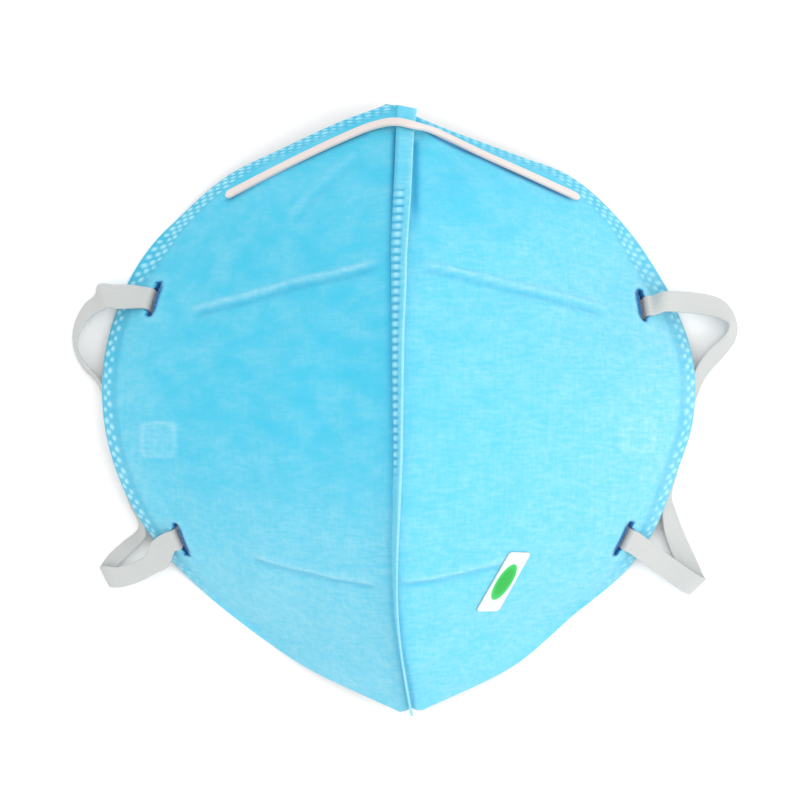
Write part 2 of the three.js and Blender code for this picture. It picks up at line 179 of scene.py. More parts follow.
def unit(vectors: np.ndarray) -> np.ndarray:
    """Vectors divided by their lengths."""
    return vectors / np.maximum(np.linalg.norm(vectors, axis=-1, keepdims=True), 1e-9)


def arc_lengths(points: np.ndarray, axis: int = 0) -> np.ndarray:
    """The running length of lines of points.

    Formula in words: the sum, from the first point, of the distances between neighbours.

    Args:
        points: points with x, y, z last.
        axis: the axis that the lines run along.

    Returns:
        One length for each point, 0 at the first.
    """
    steps = np.linalg.norm(np.diff(points, axis=axis), axis=-1)
    start = np.zeros_like(np.take(steps, [0], axis=axis))
    return np.concatenate([start, np.cumsum(steps, axis=axis)], axis=axis)


@dataclass(frozen=True)
class SmoothCurve:
    """A Catmull-Rom curve through points, read from 0 to 1."""

    points: np.ndarray
    centripetal: bool = False

    def at(self, place: np.ndarray) -> np.ndarray:
        """Points of the curve.

        Formula in words: between two neighbours runs a cubic whose ends are those points.
        Its end slopes are half the step between the points on either side, or, for a
        centripetal curve, slopes weighted by the square roots of the three distances.

        Args:
            place: places from 0 at the first point to 1 at the last, any shape.

        Returns:
            Points, with x, y, z as a new last axis.
        """
        p = self.points
        scaled = np.clip(np.asarray(place, float), 0, 1) * (len(p) - 1)
        first = np.minimum(scaled.astype(int), len(p) - 2)
        k = (scaled - first)[..., None]
        held = np.vstack([2 * p[0] - p[1], p, 2 * p[-1] - p[-2]])
        before, start, end, after = (held[first + i] for i in range(4))
        if self.centripetal:
            gaps = [
                np.sqrt(np.linalg.norm(b - a, axis=-1, keepdims=True))
                for a, b in ((before, start), (start, end), (end, after))
            ]
            g0, g1, g2 = (np.maximum(gap, 1e-4) for gap in gaps)
            slope0 = g1 * ((start - before) / g0 - (end - before) / (g0 + g1) + (end - start) / g1)
            slope1 = g1 * ((end - start) / g1 - (after - start) / (g1 + g2) + (after - end) / g2)
        else:
            slope0 = (end - before) / 2
            slope1 = (after - start) / 2
        step = end - start
        square = 3 * step - 2 * slope0 - slope1
        cube = slope0 + slope1 - 2 * step
        return start + k * (slope0 + k * (square + k * cube))


@dataclass(frozen=True)
class ShellForm:
    """The two half shells' common form, each a surface of u (ridge to rim) and t (nose to chin)."""

    wall: float = 1.6
    rim_wall: float = 1.0
    rim_weld: float = 5.0
    ridge_share: float = 0.62
    gap: float = 0.3
    settle: float = 1.2
    ridge: SmoothCurve = SmoothCurve(SECTIONS[:, :3])
    left_rim: SmoothCurve = SmoothCurve(SECTIONS[:, [3, 4, 7]])
    right_rim: SmoothCurve = SmoothCurve(SECTIONS[:, [5, 6, 7]])

    def rim(self, side: Side) -> SmoothCurve:
        """The rim's curve on one side."""
        return self.left_rim if side is Side.LEFT else self.right_rim

    def point(self, side: Side, u: np.ndarray, t: np.ndarray) -> np.ndarray:
        """Points of the outer face.

        Formula in words: x and y go straight from the ridge to the rim; z falls by 0.62 of
        u plus 0.38 of its square. Where that is lower than the thickness of a cloth that
        lies on the ground, it turns softly to that height.

        Args:
            side: which half.
            u: 0 at the ridge to 1 at the rim.
            t: 0 at the nose to 1 at the chin, in the shape of u.

        Returns:
            Points in millimetres.
        """
        ridge = self.ridge.at(t)
        ridge[..., 0] += side.value * self.gap / 2
        rim = self.rim(side).at(t)
        fall = self.ridge_share * u + (1 - self.ridge_share) * u * u
        made = lerp(ridge, rim, np.asarray(u)[..., None])
        height = lerp(ridge[..., 2], rim[..., 2], fall) - self.rim_wall
        made[..., 2] = self.rim_wall + (height + np.sqrt(height**2 + self.settle**2)) / 2
        return made

    def normal(self, side: Side, u: np.ndarray, t: np.ndarray) -> np.ndarray:
        """The outward normal: the cross product of the two directions of the surface."""
        step = 0.004
        u, t = np.broadcast_arrays(np.asarray(u, float), np.asarray(t, float))
        across = self.point(side, np.minimum(u + step, 1), t) - self.point(
            side, np.maximum(u - step, 0), t
        )
        along = self.point(side, u, np.minimum(t + step, 1)) - self.point(
            side, u, np.maximum(t - step, 0)
        )
        return unit(np.cross(across, along) * -side.value)

    def ridge_out(self, t: np.ndarray) -> np.ndarray:
        """The direction that halves the angle of the two halves at the ridge."""
        zero = np.zeros_like(t)
        return unit(self.normal(Side.LEFT, zero, t) + self.normal(Side.RIGHT, zero, t))

    def find(self, side: Side, x: np.ndarray, y: np.ndarray) -> tuple[np.ndarray, np.ndarray]:
        """The place of points seen from above.

        Formula in words: t is halved in on until the straight line from ridge to rim at t
        passes through the point.

        Args:
            side: which half.
            x: x of the points.
            y: y of the points.

        Returns:
            Their u and t.
        """
        x, y = np.asarray(x, float), np.asarray(y, float)
        low, high = np.zeros_like(x), np.ones_like(x)
        for _ in range(40):
            t = (low + high) / 2
            ridge, rim = self.ridge.at(t), self.rim(side).at(t)
            ridge_x = ridge[..., 0] + side.value * self.gap / 2
            u = (x - ridge_x) / (rim[..., 0] - ridge_x)
            too_near = lerp(ridge[..., 1], rim[..., 1], u) > y
            low, high = np.where(too_near, t, low), np.where(too_near, high, t)
        return u, t

    def above(self, side: Side, x: np.ndarray, y: np.ndarray, height: np.ndarray) -> np.ndarray:
        """Points at a height over the shell, at x and y seen from above."""
        u, t = self.find(side, x, y)
        return self.point(side, u, t) + self.normal(side, u, t) * np.asarray(height)[..., None]


@dataclass(frozen=True)
class Slit:
    """A slit for a band: its middle and its direction towards the nose, seen from above.

    Its outline is narrow and round at the ends and wider, further out, in the middle.
    """

    side: Side
    x: float
    y: float
    along_x: float
    along_y: float
    length: float = 9.6
    end_half: float = 0.85
    end_place: float = 0.1
    middle_half: float = 1.25
    middle_place: float = 0.9

    def extent(self, run: np.ndarray) -> tuple[np.ndarray, np.ndarray]:
        """The outline's middle and half width, at distances along the slit."""
        swell = smooth(self.length / 2 - np.abs(run), 1.0, 2.4)
        place = lerp(self.end_place, self.middle_place, swell)
        return place, lerp(self.end_half, self.middle_half, swell)

    def directions(self, form: ShellForm) -> tuple[np.ndarray, ...]:
        """The slit's middle on the outer face, and its directions along, out and up.

        Args:
            form: the shell's form.

        Returns:
            Four arrays of x, y, z.
        """
        u, t = form.find(self.side, np.array(self.x), np.array(self.y))
        middle, up = form.point(self.side, u, t), form.normal(self.side, u, t)
        rise = -(self.along_x * up[0] + self.along_y * up[1]) / up[2]
        along = unit(np.array([self.along_x, self.along_y, rise]))
        out = unit(np.cross(along, up) * self.side.value)
        return middle, along, out, up


UPPER_LEFT = Slit(Side.LEFT, -63.75, 28.15, 2.3, 7.3)
UPPER_RIGHT = Slit(Side.RIGHT, 60.3, 26.65, -1.0, 7.5)
LOWER_LEFT = Slit(Side.LEFT, -57.0, -33.2, -3.3, 7.6)
LOWER_RIGHT = Slit(Side.RIGHT, 55.5, -32.9, 3.6, 7.0)


@dataclass
class PieceMesh:
    """A closed body as rows of points round it, with values on its points for its finish."""

    name: str
    rings: np.ndarray
    values: dict[str, np.ndarray] = field(default_factory=dict)
    uv: np.ndarray | None = None

    def faces(self) -> list[list[int]]:
        """Four-sided faces between neighbouring rings, and one face on each end ring."""
        rows, columns = self.rings.shape[:2]
        start = np.arange(rows - 1)[:, None] * columns
        here, following = np.arange(columns), np.roll(np.arange(columns), -1)
        quads = np.stack(
            [start + here, start + following, start + columns + following, start + columns + here],
            axis=-1,
        ).reshape(-1, 4)
        first, last = here[::-1], here + (rows - 1) * columns
        return [*quads.tolist(), first.tolist(), last.tolist()]

    def volume(self) -> float:
        """Six times the volume that the rings enclose, below 0 where faces point inwards.

        Formula in words: the triple products of each quad's corners, as two triangles.
        """
        a, b = self.rings[:-1], np.roll(self.rings[:-1], -1, axis=1)
        d, c = self.rings[1:], np.roll(self.rings[1:], -1, axis=1)
        middle = self.rings.mean(axis=(0, 1))
        a, b, c, d = a - middle, b - middle, c - middle, d - middle
        return float((a * np.cross(b, c)).sum() + (a * np.cross(c, d)).sum())

    def build(self, shift: np.ndarray) -> bpy.types.Object:
        """Writes the mesh, faces out, in metres.

        Args:
            shift: what is added to the points, in millimetres, to reach the model's frame.

        Returns:
            The new object, at the origin.
        """
        if self.volume() < 0:
            self.rings = self.rings[:, ::-1]
            self.values = {name: value[:, ::-1] for name, value in self.values.items()}
            self.uv = None if self.uv is None else self.uv[:, ::-1]
        mesh = bpy.data.meshes.new(self.name)
        points = (self.rings.reshape(-1, 3) + shift) * MM
        mesh.from_pydata(points.tolist(), [], self.faces())
        for name, value in self.values.items():
            layer = mesh.attributes.new(name, "FLOAT", "POINT")
            layer.data.foreach_set("value", np.ascontiguousarray(value, np.float32).ravel())
        if self.uv is not None:
            corners = np.zeros(len(mesh.loops), int)
            mesh.loops.foreach_get("vertex_index", corners)
            layer = mesh.uv_layers.new(name="UVMap")
            layer.data.foreach_set("uv", self.uv.reshape(-1, 2)[corners].astype(np.float32).ravel())
        mesh.shade_smooth()
        mesh.update()
        made = bpy.data.objects.new(self.name, mesh)
        bpy.context.scene.collection.objects.link(made)
        return made


class Graph:
    """Short ways to wire a node tree."""

    def __init__(self, tree: bpy.types.NodeTree) -> None:
        """Starts on a tree."""
        self.tree = tree

    def feed(self, socket: bpy.types.NodeSocket, value: object) -> None:
        """Links a socket to another, or sets its constant."""
        if isinstance(value, bpy.types.NodeSocket):
            self.tree.links.new(value, socket)
        else:
            socket.default_value = value

    def node(self, kind: str, inputs: dict | None = None, **settings: object) -> bpy.types.Node:
        """Adds a node.

        Args:
            kind: the node's type.
            inputs: sockets by name or number, each a constant or another socket.
            **settings: the node's own properties.

        Returns:
            The new node.
        """
        made = self.tree.nodes.new(kind)
        for name, value in settings.items():
            setattr(made, name, value)
        for name, value in (inputs or {}).items():
            self.feed(made.inputs[name], value)
        return made

    def math(self, operation: str, *values: object) -> bpy.types.NodeSocket:
        """The result of one sum on up to three values."""
        return self.node("ShaderNodeMath", dict(enumerate(values)), operation=operation).outputs[0]

    def mix(self, share: object, first: object, second: object) -> bpy.types.NodeSocket:
        """A colour between two colours."""
        inputs = {0: share, 6: first, 7: second}
        return self.node("ShaderNodeMix", inputs, data_type="RGBA").outputs[2]

    def span(self, value: object, low: float, high: float, start: float = 0.0, end: float = 1.0):
        """A value's way from low to high, as a value from start to end, with soft ends."""
        made = self.node(
            "ShaderNodeMapRange",
            {0: value, 1: low, 2: high, 3: start, 4: end},
            interpolation_type="SMOOTHSTEP",
        )
        return made.outputs[0]

    def noise(self, vector: object, scale: float, detail: float = 2.0) -> bpy.types.NodeSocket:
        """Cloudy noise of one scale, in patches per metre."""
        inputs = {"Vector": vector, "Scale": scale, "Detail": detail}
        return self.node("ShaderNodeTexNoise", inputs).outputs["Fac"]

    def stretched(self, vector: object, scale: tuple[float, float, float]):
        """A vector scaled along each axis."""
        return self.node("ShaderNodeMapping", {"Vector": vector, "Scale": scale}).outputs[0]

    def attribute(self, name: str) -> bpy.types.NodeSocket:
        """A value that the piece's points carry."""
        return self.node("ShaderNodeAttribute", attribute_name=name).outputs["Fac"]

    def place(self, kind: str) -> bpy.types.NodeSocket:
        """The Object or UV coordinates."""
        return self.node("ShaderNodeTexCoord").outputs[kind]

    def group(self, tree: bpy.types.NodeTree, inputs: dict) -> bpy.types.Node:
        """A shared node group at work, with its inputs fed."""
        return self.node("ShaderNodeGroup", inputs, node_tree=tree)

    def blend(self, *terms: tuple[object, float]) -> bpy.types.NodeSocket:
        """The sum of values, each with its weight."""
        total = None
        for value, weight in terms:
            part = self.math("MULTIPLY", value, weight)
            total = part if total is None else self.math("ADD", total, part)
        return total

    def bump(self, shader: bpy.types.Node, strength: float, depth: float, height: object) -> None:
        """Roughens a shader's surface by a height, depth in metres."""
        inputs = {"Strength": strength, "Distance": depth, "Height": height}
        self.feed(shader.inputs["Normal"], self.node("ShaderNodeBump", inputs).outputs[0])


def new_group(name: str, inputs: dict[str, str], outputs: dict[str, str]) -> bpy.types.NodeTree:
    """Makes a shader node group with named sockets.

    Args:
        name: the group's name.
        inputs: socket types by input name.
        outputs: socket types by output name.

    Returns:
        The group, with its input and output nodes.
    """
    tree = bpy.data.node_groups.new(name, "ShaderNodeTree")
    for in_out, sockets in (("INPUT", inputs), ("OUTPUT", outputs)):
        for socket, kind in sockets.items():
            tree.interface.new_socket(name=socket, in_out=in_out, socket_type=kind)
    tree.nodes.new("NodeGroupInput")
    tree.nodes.new("NodeGroupOutput")
    return tree


# The grain's noises: patches per metre along x, y and z, and detail. In order: fibres
# across, fibres along, fibres any way, thick and thin web.
GRAIN_NOISES = (
    ((120, 1100, 500), 3.0),
    ((1300, 140, 500), 3.0),
    ((900, 900, 900), 4.0),
    ((110, 190, 130), 4.0),
)
FULL_TURN = 6.2832


def grain_group() -> bpy.types.NodeTree:
    """Spunbond nonwoven: fibres that run two ways, and cloudy patches of thicker web.

    Returns:
        A group that takes a vector, and gives Fibre, Cloud and Height from 0 to 1.
    """
    tree = new_group(
        "spunbond_grain",
        {"Vector": "NodeSocketVector", "Fineness": "NodeSocketFloat"},
        {name: "NodeSocketFloat" for name in ("Fibre", "Cloud", "Height")},
    )
    g = Graph(tree)
    start, end = tree.nodes["Group Input"], tree.nodes["Group Output"]
    fine = g.node(
        "ShaderNodeVectorMath",
        {0: start.outputs["Vector"], "Scale": start.outputs["Fineness"]},
        operation="SCALE",
    ).outputs[0]
    weft, warp, crossing, patches = (
        g.noise(g.stretched(fine, scale), 1.0, detail) for scale, detail in GRAIN_NOISES
    )
    fibre = g.span(g.blend((weft, 0.5), (warp, 0.28), (crossing, 0.22)), 0.36, 0.66)
    cloud = g.span(patches, 0.25, 0.75)
    height = g.blend((fibre, 0.75), (cloud, 0.25))
    for name, value in (("Fibre", fibre), ("Cloud", cloud), ("Height", height)):
        g.feed(end.inputs[name], value)
    return tree


def knit_group() -> bpy.types.NodeTree:
    """Knitted elastic: ribs along the band and fine courses across it.

    Formula in words: ribs are a sine of the distance across the band, courses a sine of the
    distance along it, and a little noise breaks both up.

    Returns:
        A group that takes a vector in metres across and along, and gives Yarn and Height.
    """
    tree = new_group(
        "elastic_knit",
        {
            "Vector": "NodeSocketVector",
            "Rib Pitch": "NodeSocketFloat",
            "Course Pitch": "NodeSocketFloat",
        },
        {"Yarn": "NodeSocketFloat", "Height": "NodeSocketFloat"},
    )
    g = Graph(tree)
    start, end = tree.nodes["Group Input"], tree.nodes["Group Output"]
    parts = g.node("ShaderNodeSeparateXYZ", {0: start.outputs["Vector"]})
    waves = []
    for axis, pitch in (("X", "Rib Pitch"), ("Y", "Course Pitch")):
        turns = g.math("DIVIDE", parts.outputs[axis], start.outputs[pitch])
        wobble = g.math("MULTIPLY", g.noise(start.outputs["Vector"], 420.0), 1.3)
        angle = g.math("MULTIPLY", g.math("ADD", turns, wobble), FULL_TURN)
        waves.append(g.math("MULTIPLY_ADD", g.math("SINE", angle), 0.5, 0.5))
    height = g.blend((waves[0], 0.62), (waves[1], 0.38))
    yarn = g.math("MULTIPLY_ADD", g.noise(start.outputs["Vector"], 2600.0), 0.4, height)
    g.feed(end.inputs["Yarn"], g.span(yarn, 0.25, 1.1))
    g.feed(end.inputs["Height"], height)
    return tree


class SharedGroups:
    """The node groups that several finishes use, each built once."""

    def __init__(self) -> None:
        """Builds them."""
        self.grain = grain_group()
        self.knit = knit_group()


def new_material(name: str) -> tuple[bpy.types.Material, Graph, bpy.types.Node]:
    """Makes a material with an unset Principled shader.

    Args:
        name: the material's name.

    Returns:
        The material, its wiring and its shader node.
    """
    material = bpy.data.materials.new(name)
    material.use_nodes = True
    return material, Graph(material.node_tree), material.node_tree.nodes["Principled BSDF"]


Colour = tuple[float, float, float, float]


@dataclass(frozen=True)
class NonwovenFinish:
    """Dyed spunbond with compressed welds and a white inner layer, painted paler where light falls
    and deep blue in painted shade.
    """

    name: str = "blue_nonwoven"
    # deep and mid: shaded and lit copies of the blue, mixed by the painted light.
    deep: Colour = (0.036, 0.46, 0.655, 1)
    mid: Colour = (0.17, 0.53, 0.665, 1)
    # Paler web in the blotches, and painted highlights.
    pale: Colour = (0.29, 0.60, 0.71, 1)
    weld: Colour = (0.38, 0.70, 0.79, 1)
    # Compressed welds, and painted shade in the welt grooves and along the ridge and seam.
    pressed_weld_and_shade: Colour = (0.012, 0.29, 0.50, 1)
    # Painted deep shade in and beside the slits, under the nose clip and at the seam's foot.
    deep_shade_blue: Colour = (0.001, 0.085, 0.27, 1)
    inner: Colour = (0.78, 0.82, 0.83, 1)
    blotches: float = 0.34
    fibres: float = 0.5
    roughness: float = 0.78
    dot_gloss: float = -0.25
    sheen: float = 0.12

    def make(self, groups: SharedGroups) -> bpy.types.Material:
        """Wires the material.

        Args:
            groups: the shared node groups.

        Returns:
            The material.
        """
        material, g, shader = new_material(self.name)
        grain = g.group(groups.grain, {"Vector": g.place("Object"), "Fineness": 1.0})
        blotch = g.math("MULTIPLY", grain.outputs["Cloud"], self.blotches)
        gaps = g.math("SUBTRACT", 1.0, grain.outputs["Fibre"])
        # Painted highlights and painted shade come from the points' values; blotches, fibres, weld
        # dots and the inner layer are the cloth's own.
        layers = (
            (g.attribute("pale"), self.pale),
            (blotch, self.pale),
            (g.math("MULTIPLY", gaps, self.fibres), self.deep),
            (g.attribute("pressed_weld_and_shade"), self.pressed_weld_and_shade),
            (g.attribute("dot"), self.weld),
            (g.attribute("inner"), self.inner),
            (g.attribute("painted_deep_shade"), self.deep_shade_blue),
        )
        # Painted light and shade: the deep blue stands for shaded cloth, the mid blue for lit
        # cloth.
        colour = g.mix(g.attribute("painted_light_tone"), self.deep, self.mid)
        for share, over in layers:
            colour = g.mix(share, colour, over)
        g.feed(shader.inputs["Base Color"], colour)
        gloss = g.math("MULTIPLY", g.attribute("dot"), self.dot_gloss)
        g.feed(shader.inputs["Roughness"], g.math("ADD", gloss, self.roughness))
        shader.inputs["Sheen Weight"].default_value = self.sheen
        shader.inputs["Sheen Roughness"].default_value = 0.5
        shader.inputs["Specular IOR Level"].default_value = 0.3
        g.bump(shader, 0.35, 0.00025, grain.outputs["Height"])
        return material


@dataclass(frozen=True)
class ClipFinish:
    """Matt white plastic with the faintest warm tint, and tiny drawing lines."""

    name: str = "clip_plastic"
    colour: Colour = (0.66, 0.585, 0.555, 1)
    shade: Colour = (0.58, 0.515, 0.49, 1)
    roughness: float = 0.45

    def make(self, groups: SharedGroups) -> bpy.types.Material:
        """Wires the material.

        Args:
            groups: the shared node groups.

        Returns:
            The material.
        """
        material, g, shader = new_material(self.name)
        grain = g.group(groups.grain, {"Vector": g.place("Object"), "Fineness": 0.6})
        share = g.math("MULTIPLY", grain.outputs["Cloud"], 0.35)
        g.feed(shader.inputs["Base Color"], g.mix(share, self.colour, self.shade))
        spread = g.math("MULTIPLY_ADD", grain.outputs["Fibre"], 0.12, self.roughness)
        g.feed(shader.inputs["Roughness"], spread)
        g.bump(shader, 0.1, 0.0001, grain.outputs["Fibre"])
        return material


@dataclass(frozen=True)
class StickerFinish:
    """White film printed with one plain green oval."""

    name: str = "sticker_film"
    film: Colour = (0.60, 0.64, 0.65, 1)
    green: Colour = (0.0, 0.36, 0.035, 1)
    rim_green: Colour = (0.01, 0.47, 0.07, 1)
    oval: tuple[float, float] = (0.36, 0.3)
    roughness: float = 0.35

    def make(self, groups: SharedGroups) -> bpy.types.Material:
        """Wires the material.

        Formula in words: the distance from the oval's middle is the root of the squares of
        the two distances over the two half widths, and ink lies where it is below 1.

        Args:
            groups: the shared node groups.

        Returns:
            The material.
        """
        material, g, shader = new_material(self.name)
        parts = g.node("ShaderNodeSeparateXYZ", {0: g.place("UV")})
        squares = []
        for part, half_width in zip(parts.outputs, self.oval):
            share = g.math("DIVIDE", g.math("SUBTRACT", part, 0.5), half_width)
            squares.append(g.math("POWER", share, 2.0))
        far = g.math("SQRT", g.math("ADD", *squares))
        grain = g.group(groups.grain, {"Vector": g.place("Object"), "Fineness": 1.0})
        ink = g.mix(g.span(far, 0.55, 0.95), self.green, self.rim_green)
        printed = g.math("MULTIPLY", g.span(far, 1.06, 0.96), g.attribute("top"))
        g.feed(shader.inputs["Base Color"], g.mix(printed, self.film, ink))
        spread = g.math("MULTIPLY_ADD", grain.outputs["Cloud"], 0.1, self.roughness)
        g.feed(shader.inputs["Roughness"], spread)
        g.bump(shader, 0.08, 0.0001, grain.outputs["Cloud"])
        return material


@dataclass(frozen=True)
class ElasticFinish:
    """White knitted elastic, greyer between its yarns."""

    name: str = "white_elastic"
    yarn: Colour = (0.505, 0.52, 0.51, 1)
    hollow: Colour = (0.42, 0.435, 0.43, 1)
    rib_pitch: float = 0.00042
    course_pitch: float = 0.0005
    roughness: float = 0.82

    def make(self, groups: SharedGroups) -> bpy.types.Material:
        """Wires the material.

        Args:
            groups: the shared node groups.

        Returns:
            The material.
        """
        material, g, shader = new_material(self.name)
        pitches = {"Rib Pitch": self.rib_pitch, "Course Pitch": self.course_pitch}
        knit = g.group(groups.knit, {"Vector": g.place("UV"), **pitches})
        g.feed(shader.inputs["Base Color"], g.mix(knit.outputs["Yarn"], self.hollow, self.yarn))
        shader.inputs["Roughness"].default_value = self.roughness
        shader.inputs["Sheen Weight"].default_value = 0.15
        g.bump(shader, 0.4, 0.0001, knit.outputs["Height"])
        return material


@dataclass(frozen=True)
class PathReading:
    """How points lie to a path seen from above: distance, side of it, and share along it."""

    distance: np.ndarray
    offset: np.ndarray
    run: np.ndarray


def ladder_zone(y: np.ndarray) -> np.ndarray:
    """How much of the ladder weld there is at a y, from 0 to 1."""
    return smooth(y, -20, -12) * (1 - smooth(y, 54.5, 57))


def read_path(x: np.ndarray, y: np.ndarray, path: np.ndarray) -> PathReading:
    """Measures points against a broken line, seen from above.

    Formula in words: a point's foot on each straight part is its projection, held between
    the part's ends. The nearest foot counts, and the offset is positive left of the path.

    Args:
        x: x of the points.
        y: y of the points.
        path: the line's corners, x and y.

    Returns:
        The readings, in the shape of x.
    """
    best = np.full(x.shape, 1e9)
    offset, run = np.zeros(x.shape), np.zeros(x.shape)
    parts = np.diff(path, axis=0)
    sizes = np.linalg.norm(parts, axis=1)
    starts = np.concatenate([[0], np.cumsum(sizes)])
    for corner, part, size, start in zip(path[:-1], parts, sizes, starts):
        dx, dy = x - corner[0], y - corner[1]
        share = np.clip((dx * part[0] + dy * part[1]) / size**2, 0, 1)
        away_x, away_y = dx - share * part[0], dy - share * part[1]
        distance = np.hypot(away_x, away_y)
        nearer = distance < best
        best = np.where(nearer, distance, best)
        turn = np.sign(part[0] * away_y - part[1] * away_x)
        offset = np.where(nearer, turn * distance, offset)
        run = np.where(nearer, (start + share * size) / starts[-1], run)
    return PathReading(best, offset, run)


@dataclass(frozen=True)
class Welt:
    """A soft raised line embossed into a half shell, seen from above."""

    path: np.ndarray
    strength: float = 1.0
    half_width: float = 0.8

    def shape(self, x: np.ndarray, y: np.ndarray) -> tuple[np.ndarray, np.ndarray]:
        """How much of a point is welt, and how much is the groove beside it.

        Formula in words: a bell across the line, and a lower bell beside it on the chin
        side, both fading out over the last tenth at each end.

        Args:
            x: x of the points.
            y: y of the points.

        Returns:
            The two shares, from 0 to 1.
        """
        reading = read_path(x, y, self.path)
        below = -reading.offset * np.sign(self.path[-1, 0] - self.path[0, 0])
        bell = np.exp(-((reading.distance / self.half_width) ** 2))
        beside = np.exp(-(((below - 1.8 * self.half_width) / self.half_width) ** 2))
        fade = smooth(reading.run, 0, 0.1) * smooth(1 - reading.run, 0, 0.1)
        near = smooth(6 * self.half_width - reading.distance, 0, 2)
        return self.strength * bell * fade, self.strength * beside * near * fade


@dataclass(frozen=True)
class Patch:
    """A plain embossed square with rounded corners, seen from above."""

    x: float
    y: float
    half: float = 4.6
    height: float = 0.22

    def shape(self, x: np.ndarray, y: np.ndarray) -> tuple[np.ndarray, np.ndarray]:
        """The height that it adds, and how much paler it is.

        Formula in words: a flat square with soft sides and a low waffle in it, palest
        along its border.

        Args:
            x: x of the points.
            y: y of the points.

        Returns:
            The height in millimetres, and the paleness from 0 to 1.
        """
        reach = (np.abs(x - self.x) ** 6 + np.abs(y - self.y) ** 6) ** (1 / 6)
        inside = smooth(self.half - reach, -0.35, 0.35)
        border = np.exp(-(((reach - self.half + 0.5) / 0.6) ** 2))
        along, over = x - self.x + y - self.y, x - self.x - y + self.y
        waffle = np.sin(along * 2.1) * np.sin(over * 2.1)
        height = inside * (self.height + 0.07 * waffle)
        return height, inside * (0.3 + 0.15 * waffle) + 0.35 * border


@dataclass
class HalfShell:
    """One half of the mask: a folded sheet of layered nonwoven, welded round its rim."""

    side: Side
    node: str
    slits: tuple[Slit, ...]
    welts: tuple[Welt, ...]
    patch: Patch
    form: ShellForm
    rows: int = 530
    rim_columns: int = 22
    rim_step: float = 0.3
    body_columns: int = 118
    edge_columns: int = 4
    inner_every: int = 6
    floor_clearance: float = 0.02
    lowest_outer: float = 0.3
    dot_radius: float = 0.94
    dot_height: float = 0.3
    welt_height: float = 0.8
    groove_depth: float = 0.3
    wave_height: float = 0.6
    weld_depth: float = 0.18
    pucker_height: float = 0.12
    fold_depth: float = 0.6
    lip_height: float = 0.35
    cut_points: int = 64
    cut_below: float = 5.0
    cut_above: float = 4.0
    wall_reach: float = 0.2

    def columns(self, t: np.ndarray) -> np.ndarray:
        """u of each column in each row: close set over the last millimetres, even before.

        Formula in words: near the rim, u is 1 less the distance over the surface's speed
        there; the rest is shared out evenly down to the ridge.

        Args:
            t: one value for each row.

        Returns:
            An array of rows by columns.
        """
        speed = 100 * np.linalg.norm(
            self.form.point(self.side, np.ones_like(t), t)
            - self.form.point(self.side, np.full_like(t, 0.99), t),
            axis=-1,
        )
        reach = np.minimum(self.rim_columns * self.rim_step, 0.42 * speed)
        rim = np.linspace(1, 0, self.rim_columns + 1)[None, :] * (reach / speed)[:, None]
        edge = np.minimum(self.form.rim_wall / 2, 0.1 * speed) / speed
        rim = 1 - lerp(edge[:, None], reach[:, None] / speed[:, None], rim / rim[:, :1])
        body = np.linspace(0, 1, self.body_columns + 1)[None, :-1] * rim[:, :1]
        return np.concatenate([body, rim], axis=1)

    def dots(self, t: np.ndarray, to_rim: np.ndarray) -> np.ndarray:
        """The mask of the rim weld's dots.

        Formula in words: dots stand a pitch apart along the rim, in rows at set distances
        from it, every second row half a pitch on, each a little off in size and place. A
        dot is a dome: 1 less the square of the distance over the radius, to the power 1.2.

        Args:
            t: nose to chin, one value for each row.
            to_rim: each point's distance from the rim.

        Returns:
            0 to 1, rows by columns.
        """
        run = arc_lengths(self.form.rim(self.side).at(t))
        pitch = lerp(2.45, 2.9, smooth(t, 0.34, 0.42))
        turns = np.concatenate([[0], np.cumsum(np.diff(run) / pitch[1:])])
        clip_zone = 1 - smooth(t, 0.19, 0.23)
        lower = 1 - smooth(t, 0.72, 0.86)
        third = (1 - 0.6 * clip_zone) * (1 - smooth(t, 0.36, 0.4))
        rows = ((1.45, 0.0, lower), (3.0, 0.5, lower), (4.55, 0.0, third))
        chance = np.random.default_rng(5 + self.side.value)
        mask = np.zeros_like(to_rim)
        for distance, phase, presence in rows:
            number = np.floor(turns + phase).astype(int)
            sizes = chance.uniform(0.78, 1.12, number.max() + 1)[number]
            wander = chance.uniform(-0.22, 0.22, number.max() + 1)[number]
            along = ((turns + phase) % 1 - 0.5) * pitch
            away = np.hypot(along[:, None], to_rim - distance - wander[:, None])
            away = away / (self.dot_radius * sizes[:, None])
            mask = np.maximum(mask, np.clip(1 - away**2, 0, 1) ** 1.2 * presence[:, None])
        return mask

    def soft_waves(self, x: np.ndarray, y: np.ndarray) -> np.ndarray:
        """Low swells of the cloth: a sum of eight sines of random direction and length."""
        source = np.random.default_rng(11 + self.side.value)
        total = np.zeros_like(x)
        for _ in range(8):
            angle, length, phase = source.uniform([0, 14, 0], [np.pi, 44, 2 * np.pi])
            total += np.sin(2 * np.pi * (x * np.cos(angle) + y * np.sin(angle)) / length + phase)
        return total / 8

    def slit_marks(self, base: np.ndarray) -> tuple[np.ndarray, np.ndarray]:
        """The painted shade in and beside each slit, and the raised lip round it.

        Formula in words: the painted shade lies in a band on the ridge side of the slit and round
        each of its ends; the lip is a bell at 2.7 mm from the slit's line.

        Args:
            base: points of the form.

        Returns:
            The two shares, from 0 to 1.
        """
        # bars holds the painted shadow in and beside the slits.
        bars, lips = np.zeros(base.shape[:2]), np.zeros(base.shape[:2])
        for slit in self.slits:
            middle, along, out, _ = slit.directions(self.form)
            offset = base - middle
            run, outward = offset @ along, offset @ out
            inside_end = 1 - smooth(np.abs(run), 3.2, 4.2)
            beside = 1 - smooth(np.abs(outward + 0.5), 0.7, 1.5)
            ends = np.hypot(np.abs(run) - 4.0, outward - 0.1)
            bars = np.maximum(bars, np.maximum(inside_end * beside, 1 - smooth(ends, 0.9, 1.5)))
            edge = np.hypot(np.maximum(np.abs(run) - 3.6, 0), outward)
            lips += np.exp(-(((edge - 2.7) / 0.8) ** 2))
        return bars, lips

